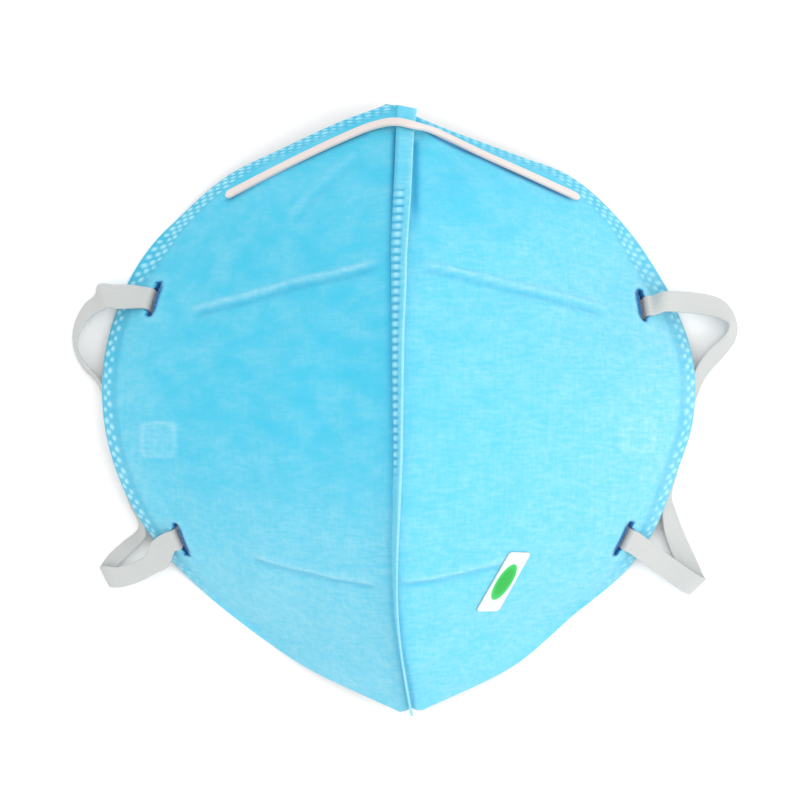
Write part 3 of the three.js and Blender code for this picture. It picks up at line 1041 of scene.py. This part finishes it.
    def painted_shade_lines(
        self, x: np.ndarray, y: np.ndarray, to_ridge: np.ndarray
    ) -> tuple[np.ndarray, np.ndarray]:
        """The darker lines of painted shade along the ridge, painted shadow beside the seam, and
        painted shadow below the nose clip.

        Args:
            x: x of the points.
            y: y of the points.
            to_ridge: their distance from the ridge.

        Returns:
            The shares of painted shade along the ridge and of painted shadow below the clip, from 0
            to 1.
        """
        depth = 0.35 + 0.4 * smooth(y, 44, 56) + 0.2 * smooth(y, -20, 10)
        crease_shade = depth * np.exp(-((to_ridge / 1.3) ** 2)) * (1 - smooth(y, 70, 72.5))
        clip_line = NOSE_CLIP_LEFT if self.side is Side.LEFT else NOSE_CLIP_RIGHT
        clip = read_path(x, y, np.array(clip_line))
        below = clip.offset * np.sign(clip_line[0][0] - clip_line[-1][0])
        # Painted shadow below the nose clip, fainter on the left half.
        under_clip = np.exp(-(((below - 0.7) / 0.55) ** 2)) * smooth(clip.run, -0.02, 0.01)
        under_clip *= 1 - smooth(clip.run, 0.93, 0.99)
        if self.side is Side.RIGHT:
            # Painted shadow that the seam's flap casts on the right half.
            beside_seam = np.exp(-(((x - 2.6) / 1.1) ** 2)) * smooth(y, 44, 54)
            crease_shade = np.maximum(crease_shade, 0.95 * beside_seam * (1 - smooth(y, 67, 69)))
        else:
            under_clip *= 0.4
        return crease_shade, 0.8 * under_clip * smooth(y, 40, 45)

    def painted_light_tone(self, x: np.ndarray, y: np.ndarray) -> np.ndarray:
        """Painted light and shade on the cloth, from 0 to 1: the side and the chin are painted the
        lightest.
        """
        if self.side is Side.LEFT:
            painted_light_tone = 0.1 + 0.8 * smooth(-y, 0, 50) + 0.2 * smooth(-x, 50, 72)
        else:
            painted_light_tone = 0.2 + 0.5 * smooth(65 - y, 5, 35) + 0.3 * smooth(x, 20, 60)
        return np.clip(painted_light_tone, 0, 1)

    def outer_face(
        self, base: np.ndarray, t: np.ndarray, to_ridge: np.ndarray, to_rim: np.ndarray
    ) -> tuple[np.ndarray, dict[str, np.ndarray]]:
        """The relief of the outer face, and the values that its finish reads.

        Args:
            base: points of the form, rows by columns.
            t: nose to chin, one value for each row.
            to_ridge: each point's distance from the ridge.
            to_rim: each point's distance from the rim.

        Returns:
            The height over the form in millimetres, and the values by name.
        """
        x, y = base[..., 0], base[..., 1]
        open_cloth = smooth(to_rim, 4.5, 14) * smooth(to_ridge, 0.5, 10)
        dots = self.dots(t, to_rim)
        pressed_weld_and_shade = (1 - smooth(to_rim, 4.8, 6.6)) * (1 - smooth(t, 0.7, 0.86))[:, None]
        shapes = [welt.shape(x, y) for welt in self.welts]
        raised = sum(shape[0] for shape in shapes) * smooth(to_rim, 3, 8)
        # Beside each welt: the relief of a groove, and painted shadow in the colour.
        groove_and_shadow = sum(shape[1] for shape in shapes) * smooth(to_rim, 3, 8)
        patch_relief, patch_tone = self.patch.shape(x, y)
        pucker = np.cos(2 * np.pi * y / LADDER_PITCH) * np.exp(-to_ridge / 1.6)
        fold = np.exp(-((to_ridge / 0.9) ** 2)) * (1 - smooth(y, 69, 73))
        bars, lips = self.slit_marks(base)
        crease_shade, under_clip = self.painted_shade_lines(x, y, to_ridge)

        relief = self.wave_height * self.soft_waves(x, y) * open_cloth
        relief += self.welt_height * raised - self.groove_depth * groove_and_shadow
        relief += patch_relief
        relief *= smooth(read_path(x, y, LABEL_LINE).distance, 4.2, 8.5)
        relief += self.dot_height * dots - self.weld_depth * pressed_weld_and_shade
        relief += self.pucker_height * ladder_zone(y) * pucker - self.fold_depth * fold
        relief += self.lip_height * lips * smooth(to_rim, 1, 3)

        # Painted light: paler towards the right side, the outer left side and the chin.
        painted_light_wash = 0.5 * smooth(x, 52, 72) + 0.3 * smooth(-x, 58, 76) * smooth(-y, -30, 10)
        painted_light_wash += 0.2 * smooth(-y, 0, 45) + 0.12 * smooth(x, 10, 40)
        values = {
            # Painted light and shade across each half.
            "painted_light_tone": self.painted_light_tone(x, y),
            # Painted highlights on the slit lips and the tops of the welts, the painted light wash,
            # and the patch's paleness.
            "pale": np.clip(0.3 * lips + 0.75 * raised + patch_tone + painted_light_wash, 0, 1),
            # The rim's weld band is the cloth's own; the welt grooves and the lines along the ridge
            # are painted shade.
            "pressed_weld_and_shade": np.clip(0.32 * pressed_weld_and_shade * (1 - dots) + 0.3 * groove_and_shadow + crease_shade, 0, 1),
            "dot": dots * (0.85 if self.side is Side.LEFT else 0.65),
            # Painted deep shade in the slits and painted shadow below the clip.
            "painted_deep_shade": np.maximum(bars, under_clip),
        }
        return relief, values

    def inner_face(
        self, base: np.ndarray, normal: np.ndarray, t: np.ndarray, wall: np.ndarray
    ) -> np.ndarray:
        """The inner face: a wall further in, held to its own side of the ridge.

        Args:
            base: points of the form, rows by columns.
            normal: their outward normals.
            t: nose to chin, one value for each row.
            wall: the thickness at each point.

        Returns:
            Points, rows by columns.
        """
        inner = base - normal * wall[..., None]
        ridge_dir = self.form.ridge_out(t)
        ridge_dir[:, 0] = 0
        depth = wall[:, 0] / (normal[:, 0] * ridge_dir).sum(-1)
        inner[:, 0] = base[:, 0] - ridge_dir * depth[:, None]
        hold = np.minimum if self.side is Side.LEFT else np.maximum
        inner[..., 0] = hold(inner[..., 0], base[:, :1, 0])
        inner[..., 2] = np.maximum(inner[..., 2], self.floor_clearance)
        return inner

    def rim_edge(self, outer: np.ndarray, inner: np.ndarray, away: np.ndarray) -> np.ndarray:
        """The half round edge between the two faces at the rim.

        Args:
            outer: the outer face.
            inner: the inner face.
            away: what lies between the faces' last points and the rim, one row each.

        Returns:
            Points, rows by columns.
        """
        turn = np.linspace(0, np.pi, self.edge_columns + 2)[1:-1]
        top, bottom = outer[:, -1:], inner[:, -1:]
        middle, half = (top + bottom) / 2, (top - bottom) / 2
        reach = np.linalg.norm(away, axis=-1)[:, None, None]
        outward = unit(away)[:, None] * reach * np.sin(turn)[:, None]
        edge = middle + half * np.cos(turn)[:, None] + outward
        edge[..., 2] = np.maximum(edge[..., 2], self.floor_clearance)
        return edge

    def build(self, shift: np.ndarray) -> bpy.types.Object:
        """Makes the half shell.

        Formula in words: the outer face is the shell's form plus its relief along the
        normal, the inner face lies a wall further in, and a half round edge joins them.

        Args:
            shift: what is added to the points to reach the model's frame.

        Returns:
            The object.
        """
        form, side = self.form, self.side
        t = np.linspace(0, 1, self.rows)
        u = self.columns(t)
        across = np.broadcast_to(t[:, None], u.shape)
        base, normal = form.point(side, u, across), form.normal(side, u, across)
        to_rim_end = form.point(side, np.ones_like(t), t) - base[:, -1]
        to_ridge = arc_lengths(base, axis=1)
        to_rim = to_ridge[:, -1:] - to_ridge
        to_rim += np.linalg.norm(to_rim_end, axis=-1)[:, None]

        relief, flat = self.outer_face(base, t, to_ridge, to_rim)
        outer = base + normal * relief[..., None]
        outer[..., 2] = np.maximum(outer[..., 2], self.lowest_outer)
        wall = lerp(form.rim_wall, form.wall, np.clip(to_rim / form.rim_weld, 0, 1))
        last = u.shape[1] - 1
        chosen = np.unique(np.append(np.arange(0, last + 1, self.inner_every), last))
        inner = self.inner_face(base, normal, t, wall)[:, chosen]
        edge = self.rim_edge(outer, inner, to_rim_end)
        rings = np.concatenate([outer, edge, inner[:, ::-1]], axis=1)

        extra = rings.shape[1] - u.shape[1]
        values = {
            name: np.concatenate([value, np.repeat(value[:, -1:], extra, axis=1)], axis=1)
            for name, value in flat.items()
        }
        # The inner face takes the painted deep shade of its columns.
        values["painted_deep_shade"][:, -len(chosen):] = flat["painted_deep_shade"][:, chosen[::-1]]
        values["inner"] = np.zeros(rings.shape[:2])
        values["inner"][:, -len(chosen):] = 1
        piece = PieceMesh(self.node + "_cloth", rings, values).build(shift)
        self.cut(piece, shift)
        return piece

    def cut(self, piece: bpy.types.Object, shift: np.ndarray) -> None:
        """Cuts the slits out of the finished shell.

        Formula in words: each cutter is an outline with small round ends and a wider
        middle in the slit's own directions, drawn out along the slit's up direction.

        Args:
            piece: the half shell.
            shift: what is added to the points to reach the model's frame.
        """
        angle = np.linspace(0, 2 * np.pi, self.cut_points, endpoint=False)
        cutters = []
        for index, slit in enumerate(self.slits):
            middle, along, out, up = slit.directions(self.form)
            run = slit.length / 2 * np.sin(angle)
            place, half = slit.extent(run)
            outward = place + half * np.sign(np.cos(angle)) * np.abs(np.cos(angle)) ** 0.5
            outline = middle + run[:, None] * along + outward[:, None] * out
            rings = np.stack([outline - self.cut_below * up, outline + self.cut_above * up])
            cutter = PieceMesh(f"cutter_{index}", rings).build(shift)
            cut = piece.modifiers.new(cutter.name, "BOOLEAN")
            cut.object, cut.operation, cut.solver = cutter, "DIFFERENCE", "EXACT"
            cutters.append(cutter)
        graph = bpy.context.evaluated_depsgraph_get()
        finished = bpy.data.meshes.new_from_object(piece.evaluated_get(graph))
        piece.modifiers.clear()
        piece.data = finished
        finished.shade_smooth()
        self.colour_walls(finished, shift)
        for cutter in cutters:
            bpy.data.objects.remove(cutter)

    def colour_walls(self, mesh: bpy.types.Mesh, shift: np.ndarray) -> None:
        """Marks the cut walls of the slits, so that they take the slits' painted deep shade.

        Formula in words: a point counts as wall when it lies inside a slit's outline, or
        no more than a fifth of a millimetre outside it.

        Args:
            mesh: the finished mesh of the half shell.
            shift: what was added to the points to reach the model's frame.
        """
        points = np.empty(len(mesh.vertices) * 3)
        mesh.vertices.foreach_get("co", points)
        points = points.reshape(-1, 3) / MM - shift
        marks = np.empty(len(mesh.vertices))
        mesh.attributes["painted_deep_shade"].data.foreach_get("value", marks)
        for slit in self.slits:
            middle, along, out, up = slit.directions(self.form)
            offset = points - middle
            run, outward = np.abs(offset @ along), offset @ out
            place, half = slit.extent(run)
            inside = (run < slit.length / 2 + self.wall_reach) & (
                np.abs(outward - place) < half + self.wall_reach
            )
            marks[inside & (np.abs(offset @ up) < 6)] = 1
        mesh.attributes["painted_deep_shade"].data.foreach_set("value", marks)


def dress(
    piece: bpy.types.Object, finish: bpy.types.Material, node: str
) -> bpy.types.Object:
    """Gives a piece its finish, and makes it ride on the mask and stand for its node.

    Args:
        piece: the piece.
        finish: its material.
        node: the CAD node that it stands for.

    Returns:
        The piece.
    """
    piece.data.materials.clear()
    piece.data.materials.append(finish)
    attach(piece, BODY)
    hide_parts(node)
    LOG.info("%s: %d faces for %s", piece.name, len(piece.data.polygons), node)
    return piece


@dataclass
class CentreSeam:
    """The two halves' allowance along the ridge: a flap, ladder-welded lower down."""

    form: ShellForm
    rows: int = 1000
    half_thickness: float = 0.42
    root_thickness: float = 0.1
    root_depth: float = 0.9
    pillow: float = 0.32

    def build(self, shift: np.ndarray) -> bpy.types.Object:
        """Makes the flap.

        Formula in words: its middle line rises out of the ridge, turns over the foot and
        goes across by the width. The faces lie half a thickness to each side of it; across
        the weld they swell between bars that stand a pitch apart.

        Args:
            shift: what is added to the points to reach the model's frame.

        Returns:
            The object.
        """
        form = self.form
        t = np.linspace(0, 1, self.rows)
        place = np.linspace(0, 1, len(SEAM_WIDTHS))
        width = np.interp(t, place, SEAM_WIDTHS)
        lie = np.interp(t, place, SEAM_LIES)
        out = form.ridge_out(t)
        flat = unit(
            form.point(Side.RIGHT, np.full_like(t, 0.05), t)
            - form.point(Side.RIGHT, np.zeros_like(t), t)
        )
        across = unit(lerp(out, flat, lie[:, None]))
        ridge = form.ridge.at(t)
        along = unit(np.gradient(ridge, axis=0))
        foot = ridge + out * (0.5 + form.gap * (1 + lie))[:, None]

        body = np.linspace(0.0, 1.0, 13)[None, :] * (width - 0.45)[:, None]
        root = np.linspace(-1, 0, 5)[None, :-1] * self.root_depth * np.ones((self.rows, 1))
        reach = np.concatenate([root, body], axis=1)
        turned = smooth(reach, -0.5, 0.9)
        direction = unit(lerp(out[:, None], across[:, None], turned[..., None]))
        way = np.where((reach < 0)[..., None], out[:, None], across[:, None])
        line = foot[:, None] + way * reach[..., None]
        normal = unit(np.cross(direction, along[:, None]))
        share = np.clip(reach / np.maximum(width, 0.5)[:, None], 0, 1)
        thick = lerp(self.root_thickness, self.half_thickness, smooth(reach, -0.6, 0.3))
        y = line[..., 1]
        thick = thick * lerp(0.7, 1.0, smooth(y, -45, -15))
        welded = ladder_zone(y)
        beat = np.abs((y / LADDER_PITCH) % 1 - 0.5) * 2
        bead = welded * smooth(1 - beat, 0.1, 0.7) * np.exp(-(((share - 0.32) / 0.24) ** 2))
        strip = welded * (1 - smooth(share, 0.5, 0.68))
        thick = thick + self.pillow * bead - 0.2 * strip * (1 - bead) * smooth(share, 0.02, 0.1)

        upper, lower = line + normal * thick[..., None], line - normal * thick[..., None]
        turn = np.linspace(0, np.pi, 7)[1:-1]
        end, half = line[:, -1:], (normal * thick[..., None])[:, -1:]
        lip = 0.45 * np.sin(turn)[:, None] * direction[:, -1:]
        edge = end + half * np.cos(turn)[:, None] + lip
        rings = np.concatenate([upper, edge, lower[:, ::-1]], axis=1)
        rings[..., 1] = np.minimum(rings[..., 1], 77.35 - 0.2 * (rings[..., 0] + 1.8))

        def round_values(value: np.ndarray, at_edge: float) -> np.ndarray:
            """Values of the upper face, the free edge and the lower face."""
            rim = np.full((self.rows, len(turn)), at_edge)
            return np.concatenate([value, rim, value[:, ::-1]], axis=1)

        # Painted highlight: the free edge and the nose end are painted paler, partly also the
        # lighter cut edge of the welded layers; shade is painted shade at the flap's foot near the
        # nose.
        free = smooth(share, 0.62, 0.9)
        nose = smooth(y, 54, 58)
        shade = (1 - smooth(share, 0.04, 0.2)) * nose
        values = {
            "painted_light_tone": round_values(0.4 + 0.3 * free, 0.8),
            "pale": round_values(np.clip(0.25 * free + 0.15 * nose * (1 - shade), 0, 1), 0.5),
            "pressed_weld_and_shade": round_values(0.7 * strip * (1 - bead), 0.0),
            # The weld pillows are the seam's own; the free edge's 0.3 is painted highlight.
            "dot": round_values(0.6 * bead, 0.3),
            "painted_deep_shade": round_values(0.2 * shade * (1 - smooth(y, 70, 72)), 0.0),
            "inner": round_values(np.zeros_like(share), 0.0),
        }
        return PieceMesh("ridge_seam", rings, values).build(shift)


def rounded_section(width: float, thickness: float, corner: float, count: int) -> np.ndarray:
    """The outline of a flat strip.

    Formula in words: a rectangle with quarter-round corners, its long sides split evenly.

    Args:
        width: the strip's width.
        thickness: its thickness.
        corner: the corners' radius.
        count: the number of parts of a long side.

    Returns:
        Points round the outline: place across from 0 to 1, and height.
    """
    half = width / 2 - corner
    top = np.linspace(-half, half, count + 1)
    turn = np.linspace(0, np.pi / 2, 4)[1:-1]
    side = thickness / 2 - corner
    right = np.stack([half + corner * np.sin(turn), side + corner * np.cos(turn)], -1)
    side_points = [[width / 2, side], [width / 2, -side]]
    lower_right = np.stack([half + corner * np.cos(turn), -side - corner * np.sin(turn)], -1)
    upper = np.stack([top, np.full_like(top, thickness / 2)], -1)
    half_loop = np.concatenate([upper, right, side_points, lower_right])
    loop = np.concatenate([half_loop, -half_loop])
    loop[:, 0] = loop[:, 0] / width + 0.5
    return loop


@dataclass
class NoseClip:
    """A flat plastic strip with rounded ends that crosses the nose."""

    form: ShellForm
    width_left: float = 2.4
    width_right: float = 2.05
    thickness: float = 1.1
    lift: float = 0.12
    seam_drop: float = 0.3
    cad_height: float = 1.1
    rows: int = 420
    end_length: float = 1.35
    left: tuple = NOSE_CLIP_LEFT
    right: tuple = NOSE_CLIP_RIGHT
    over_seam: tuple = ((0.05, -0.6), (0.058, 4.4))

    def supports(self) -> tuple[np.ndarray, np.ndarray]:
        """The points that the strip's middle goes through, and the way up at each.

        Returns:
            Points and directions, one row each.
        """
        form = self.form
        points, ups = [], []
        height = self.lift + self.thickness / 2
        t, shift_x = np.array(self.over_seam).T
        seam_up = form.ridge_out(t)
        seam_height = self.cad_height - self.seam_drop + form.gap + 1.0
        over = form.ridge.at(t) + seam_up * seam_height
        over[:, 0] += shift_x
        for side, places in ((Side.LEFT, self.left), (Side.RIGHT, self.right)):
            x, y = np.array(places).T
            u, along = form.find(side, x, y)
            points.append(form.above(side, x, y, np.full_like(x, height)))
            ups.append(form.normal(side, u, along))
            if side is Side.LEFT:
                points.append(over)
                ups.append(seam_up)
        return np.concatenate(points), np.concatenate(ups)

    def build(self, shift: np.ndarray) -> bpy.types.Object:
        """Makes the strip.

        Formula in words: a rounded section carried along the smooth curve through the
        supports; over the last millimetre its size falls as a circle's edge does.

        Args:
            shift: what is added to the points to reach the model's frame.

        Returns:
            The object.
        """
        points, ups = self.supports()
        curve = SmoothCurve(points, centripetal=True)
        ease = np.linspace(0, 1, self.rows)
        v = ease - np.sin(2 * np.pi * ease) / (2 * np.pi) * 0.55
        middle = curve.at(v)
        up = np.stack([np.interp(v, np.linspace(0, 1, len(ups)), ups[:, k]) for k in range(3)], -1)
        along = unit(np.gradient(middle, axis=0))
        across = unit(np.cross(along, up))
        up = unit(np.cross(across, along))
        run = arc_lengths(middle)
        to_end = np.minimum(run, run[-1] - run)
        bend = np.clip(1 - to_end / self.end_length, 0, 1)
        size = np.sqrt(np.maximum(1 - bend**2, 0.02))
        loop = rounded_section(self.width_left, self.thickness, 0.3, 10)
        width = lerp(self.width_left, self.width_right, smooth(v, 0.4, 0.65)) * size
        offset = width[:, None] * (loop[:, 0] - 0.5)
        rings = middle[:, None] + across[:, None] * offset[..., None]
        low = np.maximum(size, 0.55)[:, None] * loop[:, 1]
        rings = rings + up[:, None] * low[..., None]
        return PieceMesh("clip_strip", rings).build(shift)


@dataclass
class Label:
    """A slanted sticker on the right half."""

    form: ShellForm
    left: tuple = ((26.4, -35.9), (17.8, -50.9))
    right: tuple = ((31.8, -36.1), (23.6, -50.9))
    thickness: float = 0.3
    lift: float = 0.12
    rows: int = 48
    columns: int = 20
    corner: float = 0.05

    def build(self, shift: np.ndarray) -> bpy.types.Object:
        """Makes the sticker.

        Formula in words: u goes across and v down between the four corners seen from above,
        and both faces follow the shell. Near its ends the outline draws in by a quarter
        circle, which rounds the corners.

        Args:
            shift: what is added to the points to reach the model's frame.

        Returns:
            The object.
        """
        v = (1 - np.cos(np.linspace(0, np.pi, self.rows))) / 2
        bend = np.clip(1 - np.minimum(v, 1 - v) / self.corner, 0, 1)
        inset = 0.14 * (1 - np.sqrt(1 - bend**2))
        u = lerp(inset[:, None], 1 - inset[:, None], np.linspace(0, 1, self.columns)[None, :])
        left, right = np.array(self.left), np.array(self.right)
        start = lerp(left[0], left[1], v[:, None])[:, None]
        end = lerp(right[0], right[1], v[:, None])[:, None]
        flat = lerp(start, end, u[..., None])
        over, under = (
            self.form.above(Side.RIGHT, flat[..., 0], flat[..., 1], np.full(u.shape, height))
            for height in (self.lift + self.thickness, self.lift)
        )
        uv_top = np.stack([u, np.broadcast_to(v[:, None], u.shape)], -1)
        rings = np.concatenate([over, under[:, ::-1]], axis=1)
        uv = np.concatenate([uv_top, uv_top[:, ::-1]], axis=1)
        top = np.concatenate([np.ones(u.shape), np.zeros(u.shape)], axis=1)
        return PieceMesh("sticker", rings, {"top": top}, uv).build(shift)


@dataclass
class EarLoop:
    """A flat elastic band from one slit to the other, with a tab inside at each end."""

    name: str
    node: str
    upper: Slit
    lower: Slit
    free: np.ndarray
    form: ShellForm
    width: float = 6.0
    thickness: float = 0.72
    steps: int = 12
    rib: float = 0.025
    ribs: int = 10

    def threaded(self, slit: Slit) -> np.ndarray:
        """The two edges of the band on its way through a slit.

        Args:
            slit: the slit.

        Returns:
            Rows of edge a x, y, z and edge b x, y, z, from the tab inside to the outside.
        """
        middle, along, out, up = slit.directions(self.form)
        centre = middle + THREADING[:, :1] * out + THREADING[:, 1:] * up
        half = along * self.width / 2
        return np.concatenate([centre + half, centre - half], axis=1)

    def build(self, shift: np.ndarray) -> bpy.types.Object:
        """Makes the band.

        Formula in words: both edges are smooth curves through the rows; a flat rounded
        section with low ribs is stretched between them at right angles to the band's way.

        Args:
            shift: what is added to the points to reach the model's frame.

        Returns:
            The object.
        """
        ends = self.threaded(self.upper), self.threaded(self.lower)[::-1]
        rows = np.concatenate([ends[0], self.free, ends[1]])
        v = np.linspace(0, 1, (len(rows) - 1) * self.steps + 1)
        edge_a = SmoothCurve(rows[:, :3], centripetal=True).at(v)
        edge_b = SmoothCurve(rows[:, 3:], centripetal=True).at(v)
        middle = (edge_a + edge_b) / 2
        along = unit(np.gradient(middle, axis=0))
        normal = unit(np.cross(edge_b - edge_a, along))
        loop = rounded_section(self.width, self.thickness, 0.28, 40)
        place, height = loop[:, 0], loop[:, 1]
        rib = self.rib * np.cos(2 * np.pi * self.ribs * place) * np.sign(height)
        rib = rib * smooth(np.minimum(place, 1 - place), 0.04, 0.1)
        rings = lerp(edge_a[:, None], edge_b[:, None], place[None, :, None])
        rings = rings + normal[:, None] * (height + rib)[None, :, None]
        rings[..., 2] = np.maximum(rings[..., 2], 0.05)
        run = arc_lengths(middle)
        uv = np.stack(np.broadcast_arrays(place[None, :] * self.width, run[:, None]), -1) * MM
        LOG.info("%s: %.1f mm of band", self.name, run[-1])
        return PieceMesh(self.name, rings, {}, uv).build(shift)


@dataclass(frozen=True)
class Studio:
    """The floor, the lights and the camera."""

    floor_size: float = 6.0
    field: float = 0.2036
    distance: float = 4.5
    aim: tuple[float, float, float] = (-0.00133, 0.00242, 0.01)

    def floor(self) -> None:
        """A plain pale floor with a trace of unevenness."""
        half = self.floor_size / 2
        mesh = bpy.data.meshes.new("studio_floor")
        corners = [(-half, -half, 0), (half, -half, 0), (half, half, 0), (-half, half, 0)]
        mesh.from_pydata(corners, [], [(0, 1, 2, 3)])
        made = bpy.data.objects.new("studio_floor", mesh)
        bpy.context.scene.collection.objects.link(made)
        material, g, shader = new_material("studio_white")
        patch = g.noise(g.place("Object"), 3.0)
        white = g.mix(patch, (0.95, 0.95, 0.95, 1), (0.97, 0.97, 0.97, 1))
        g.feed(shader.inputs["Base Color"], white)
        shader.inputs["Roughness"].default_value = 0.9
        shader.inputs["Specular IOR Level"].default_value = 0.1
        mesh.materials.append(material)

    def light(
        self, name: str, place: tuple[float, float, float], size: float, power: float
    ) -> None:
        """A soft square lamp turned to the mask.

        Args:
            name: the lamp's name.
            place: where it hangs, in metres.
            size: its side, in metres.
            power: its power, in watts.
        """
        data = bpy.data.lights.new(name, "AREA")
        data.shape, data.size, data.energy = "SQUARE", size, power
        made = bpy.data.objects.new(name, data)
        made.location = place
        made.rotation_euler = (-Vector(place)).to_track_quat("-Z", "Y").to_euler()
        bpy.context.scene.collection.objects.link(made)

    def camera(self) -> None:
        """A long lens straight above, wide enough for the mask and its loops."""
        data = bpy.data.cameras.new("camera")
        data.sensor_width = 36
        data.lens = 36 * self.distance / self.field
        data.clip_end = 20
        made = bpy.data.objects.new("camera", data)
        made.location = Vector(self.aim) + Vector((0, 0, self.distance))
        bpy.context.scene.collection.objects.link(made)
        bpy.context.scene.camera = made

    def build(self) -> None:
        """Sets up the whole studio."""
        scene = bpy.context.scene
        scene.view_settings.view_transform = "Standard"
        world = bpy.data.worlds.new("studio_air")
        world.use_nodes = True
        air = world.node_tree.nodes["Background"].inputs
        air["Color"].default_value, air["Strength"].default_value = (1, 1, 1, 1), 1.12
        scene.world = world
        self.floor()
        self.light("key", (1.3, -0.55, 1.1), 1.0, 10.0)
        self.light("top", (0.1, 0.2, 1.8), 1.2, 8.0)
        self.camera()


LEFT_WELTS = (
    Welt(np.array([[-5.3, 37.7], [-17.6, 34.4], [-29.3, 32.1], [-41.0, 28.5], [-56.2, 24.9]])),
    Welt(np.array([[-39.2, -36.1], [-29.3, -39.2], [-17.6, -42.0], [-6.1, -43.8]])),
    Welt(np.array([[-30.5, 47.1], [-22.0, 57.0], [-11.5, 66.2]]), 0.4, 1.1),
)
RIGHT_WELTS = (
    Welt(np.array([[2.8, 37.2], [15.3, 34.6], [27.5, 31.6], [40.0, 28.5], [52.2, 25.5]])),
    Welt(np.array([[-2.8, -43.3], [8.1, -42.0], [19.9, -39.2], [31.1, -36.7]])),
)


def find_shift(form: ShellForm) -> np.ndarray:
    """What takes the form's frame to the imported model's.

    Formula in words: the middle of the two half shells' nodes, seen from above, less the
    middle of the rims of the form.

    Args:
        form: the shell's form.

    Returns:
        x, y and z to add, in millimetres.
    """
    t = np.linspace(0, 1, 29)
    left, right = form.left_rim.at(t), form.right_rim.at(t)
    ridge = form.ridge.at(t)
    middle_x = (left[:, 0].min() + right[:, 0].max()) / 2
    every = np.concatenate([left[:, 1], right[:, 1], ridge[:, 1]])
    middle_y = (every.min() + every.max()) / 2
    boxes = [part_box(name) for name in ("panel_left", "panel_right")]
    low = np.min([np.array(box[0]) for box in boxes], axis=0) / MM
    high = np.max([np.array(box[1]) for box in boxes], axis=0) / MM
    return np.array([(low[0] + high[0]) / 2 - middle_x, (low[1] + high[1]) / 2 - middle_y, 0.0])


def flat_area(piece: bpy.types.Object) -> float:
    """Half of a closed sheet's surface, in square metres."""
    areas = np.zeros(len(piece.data.polygons))
    piece.data.polygons.foreach_get("area", areas)
    return float(areas.sum()) / 2


def main() -> None:
    """Builds the mask, piece by piece, and the studio round it."""
    logging.basicConfig(level=logging.INFO, format="%(name)s: %(message)s")
    Studio().build()
    form = ShellForm()
    shift = find_shift(form)
    LOG.info("shift %s mm", np.round(shift, 3))
    groups = SharedGroups()
    blue = NonwovenFinish().make(groups)
    elastic = ElasticFinish().make(groups)

    left, right = (UPPER_LEFT, LOWER_LEFT), (UPPER_RIGHT, LOWER_RIGHT)
    halves = (
        HalfShell(Side.LEFT, "panel_left", left, LEFT_WELTS, Patch(-62.6, -7.6), form),
        HalfShell(Side.RIGHT, "panel_right", right, RIGHT_WELTS, Patch(59.2, -6.4), form),
    )
    shells = [dress(half.build(shift), blue, half.node) for half in halves]
    seam = dress(CentreSeam(form).build(shift), blue, "centre_seam")
    clip = dress(NoseClip(form).build(shift), ClipFinish().make(groups), "nose_clip")
    label = dress(Label(form).build(shift), StickerFinish().make(groups), "label")
    loops = (
        EarLoop("band_left", "ear_loop_left", *left, LEFT_BAND, form),
        EarLoop("band_right", "ear_loop_right", *right, RIGHT_BAND, form),
    )
    bands = [dress(loop.build(shift), elastic, loop.node) for loop in loops]

    on_shells = ([bands[0]], [bands[1], seam, clip, label])
    for shell, others in zip(shells, on_shells):
        LOG.info("%s: %.5f square metres", shell.name, flat_area(shell))


if __name__ == "__main__":
    main()
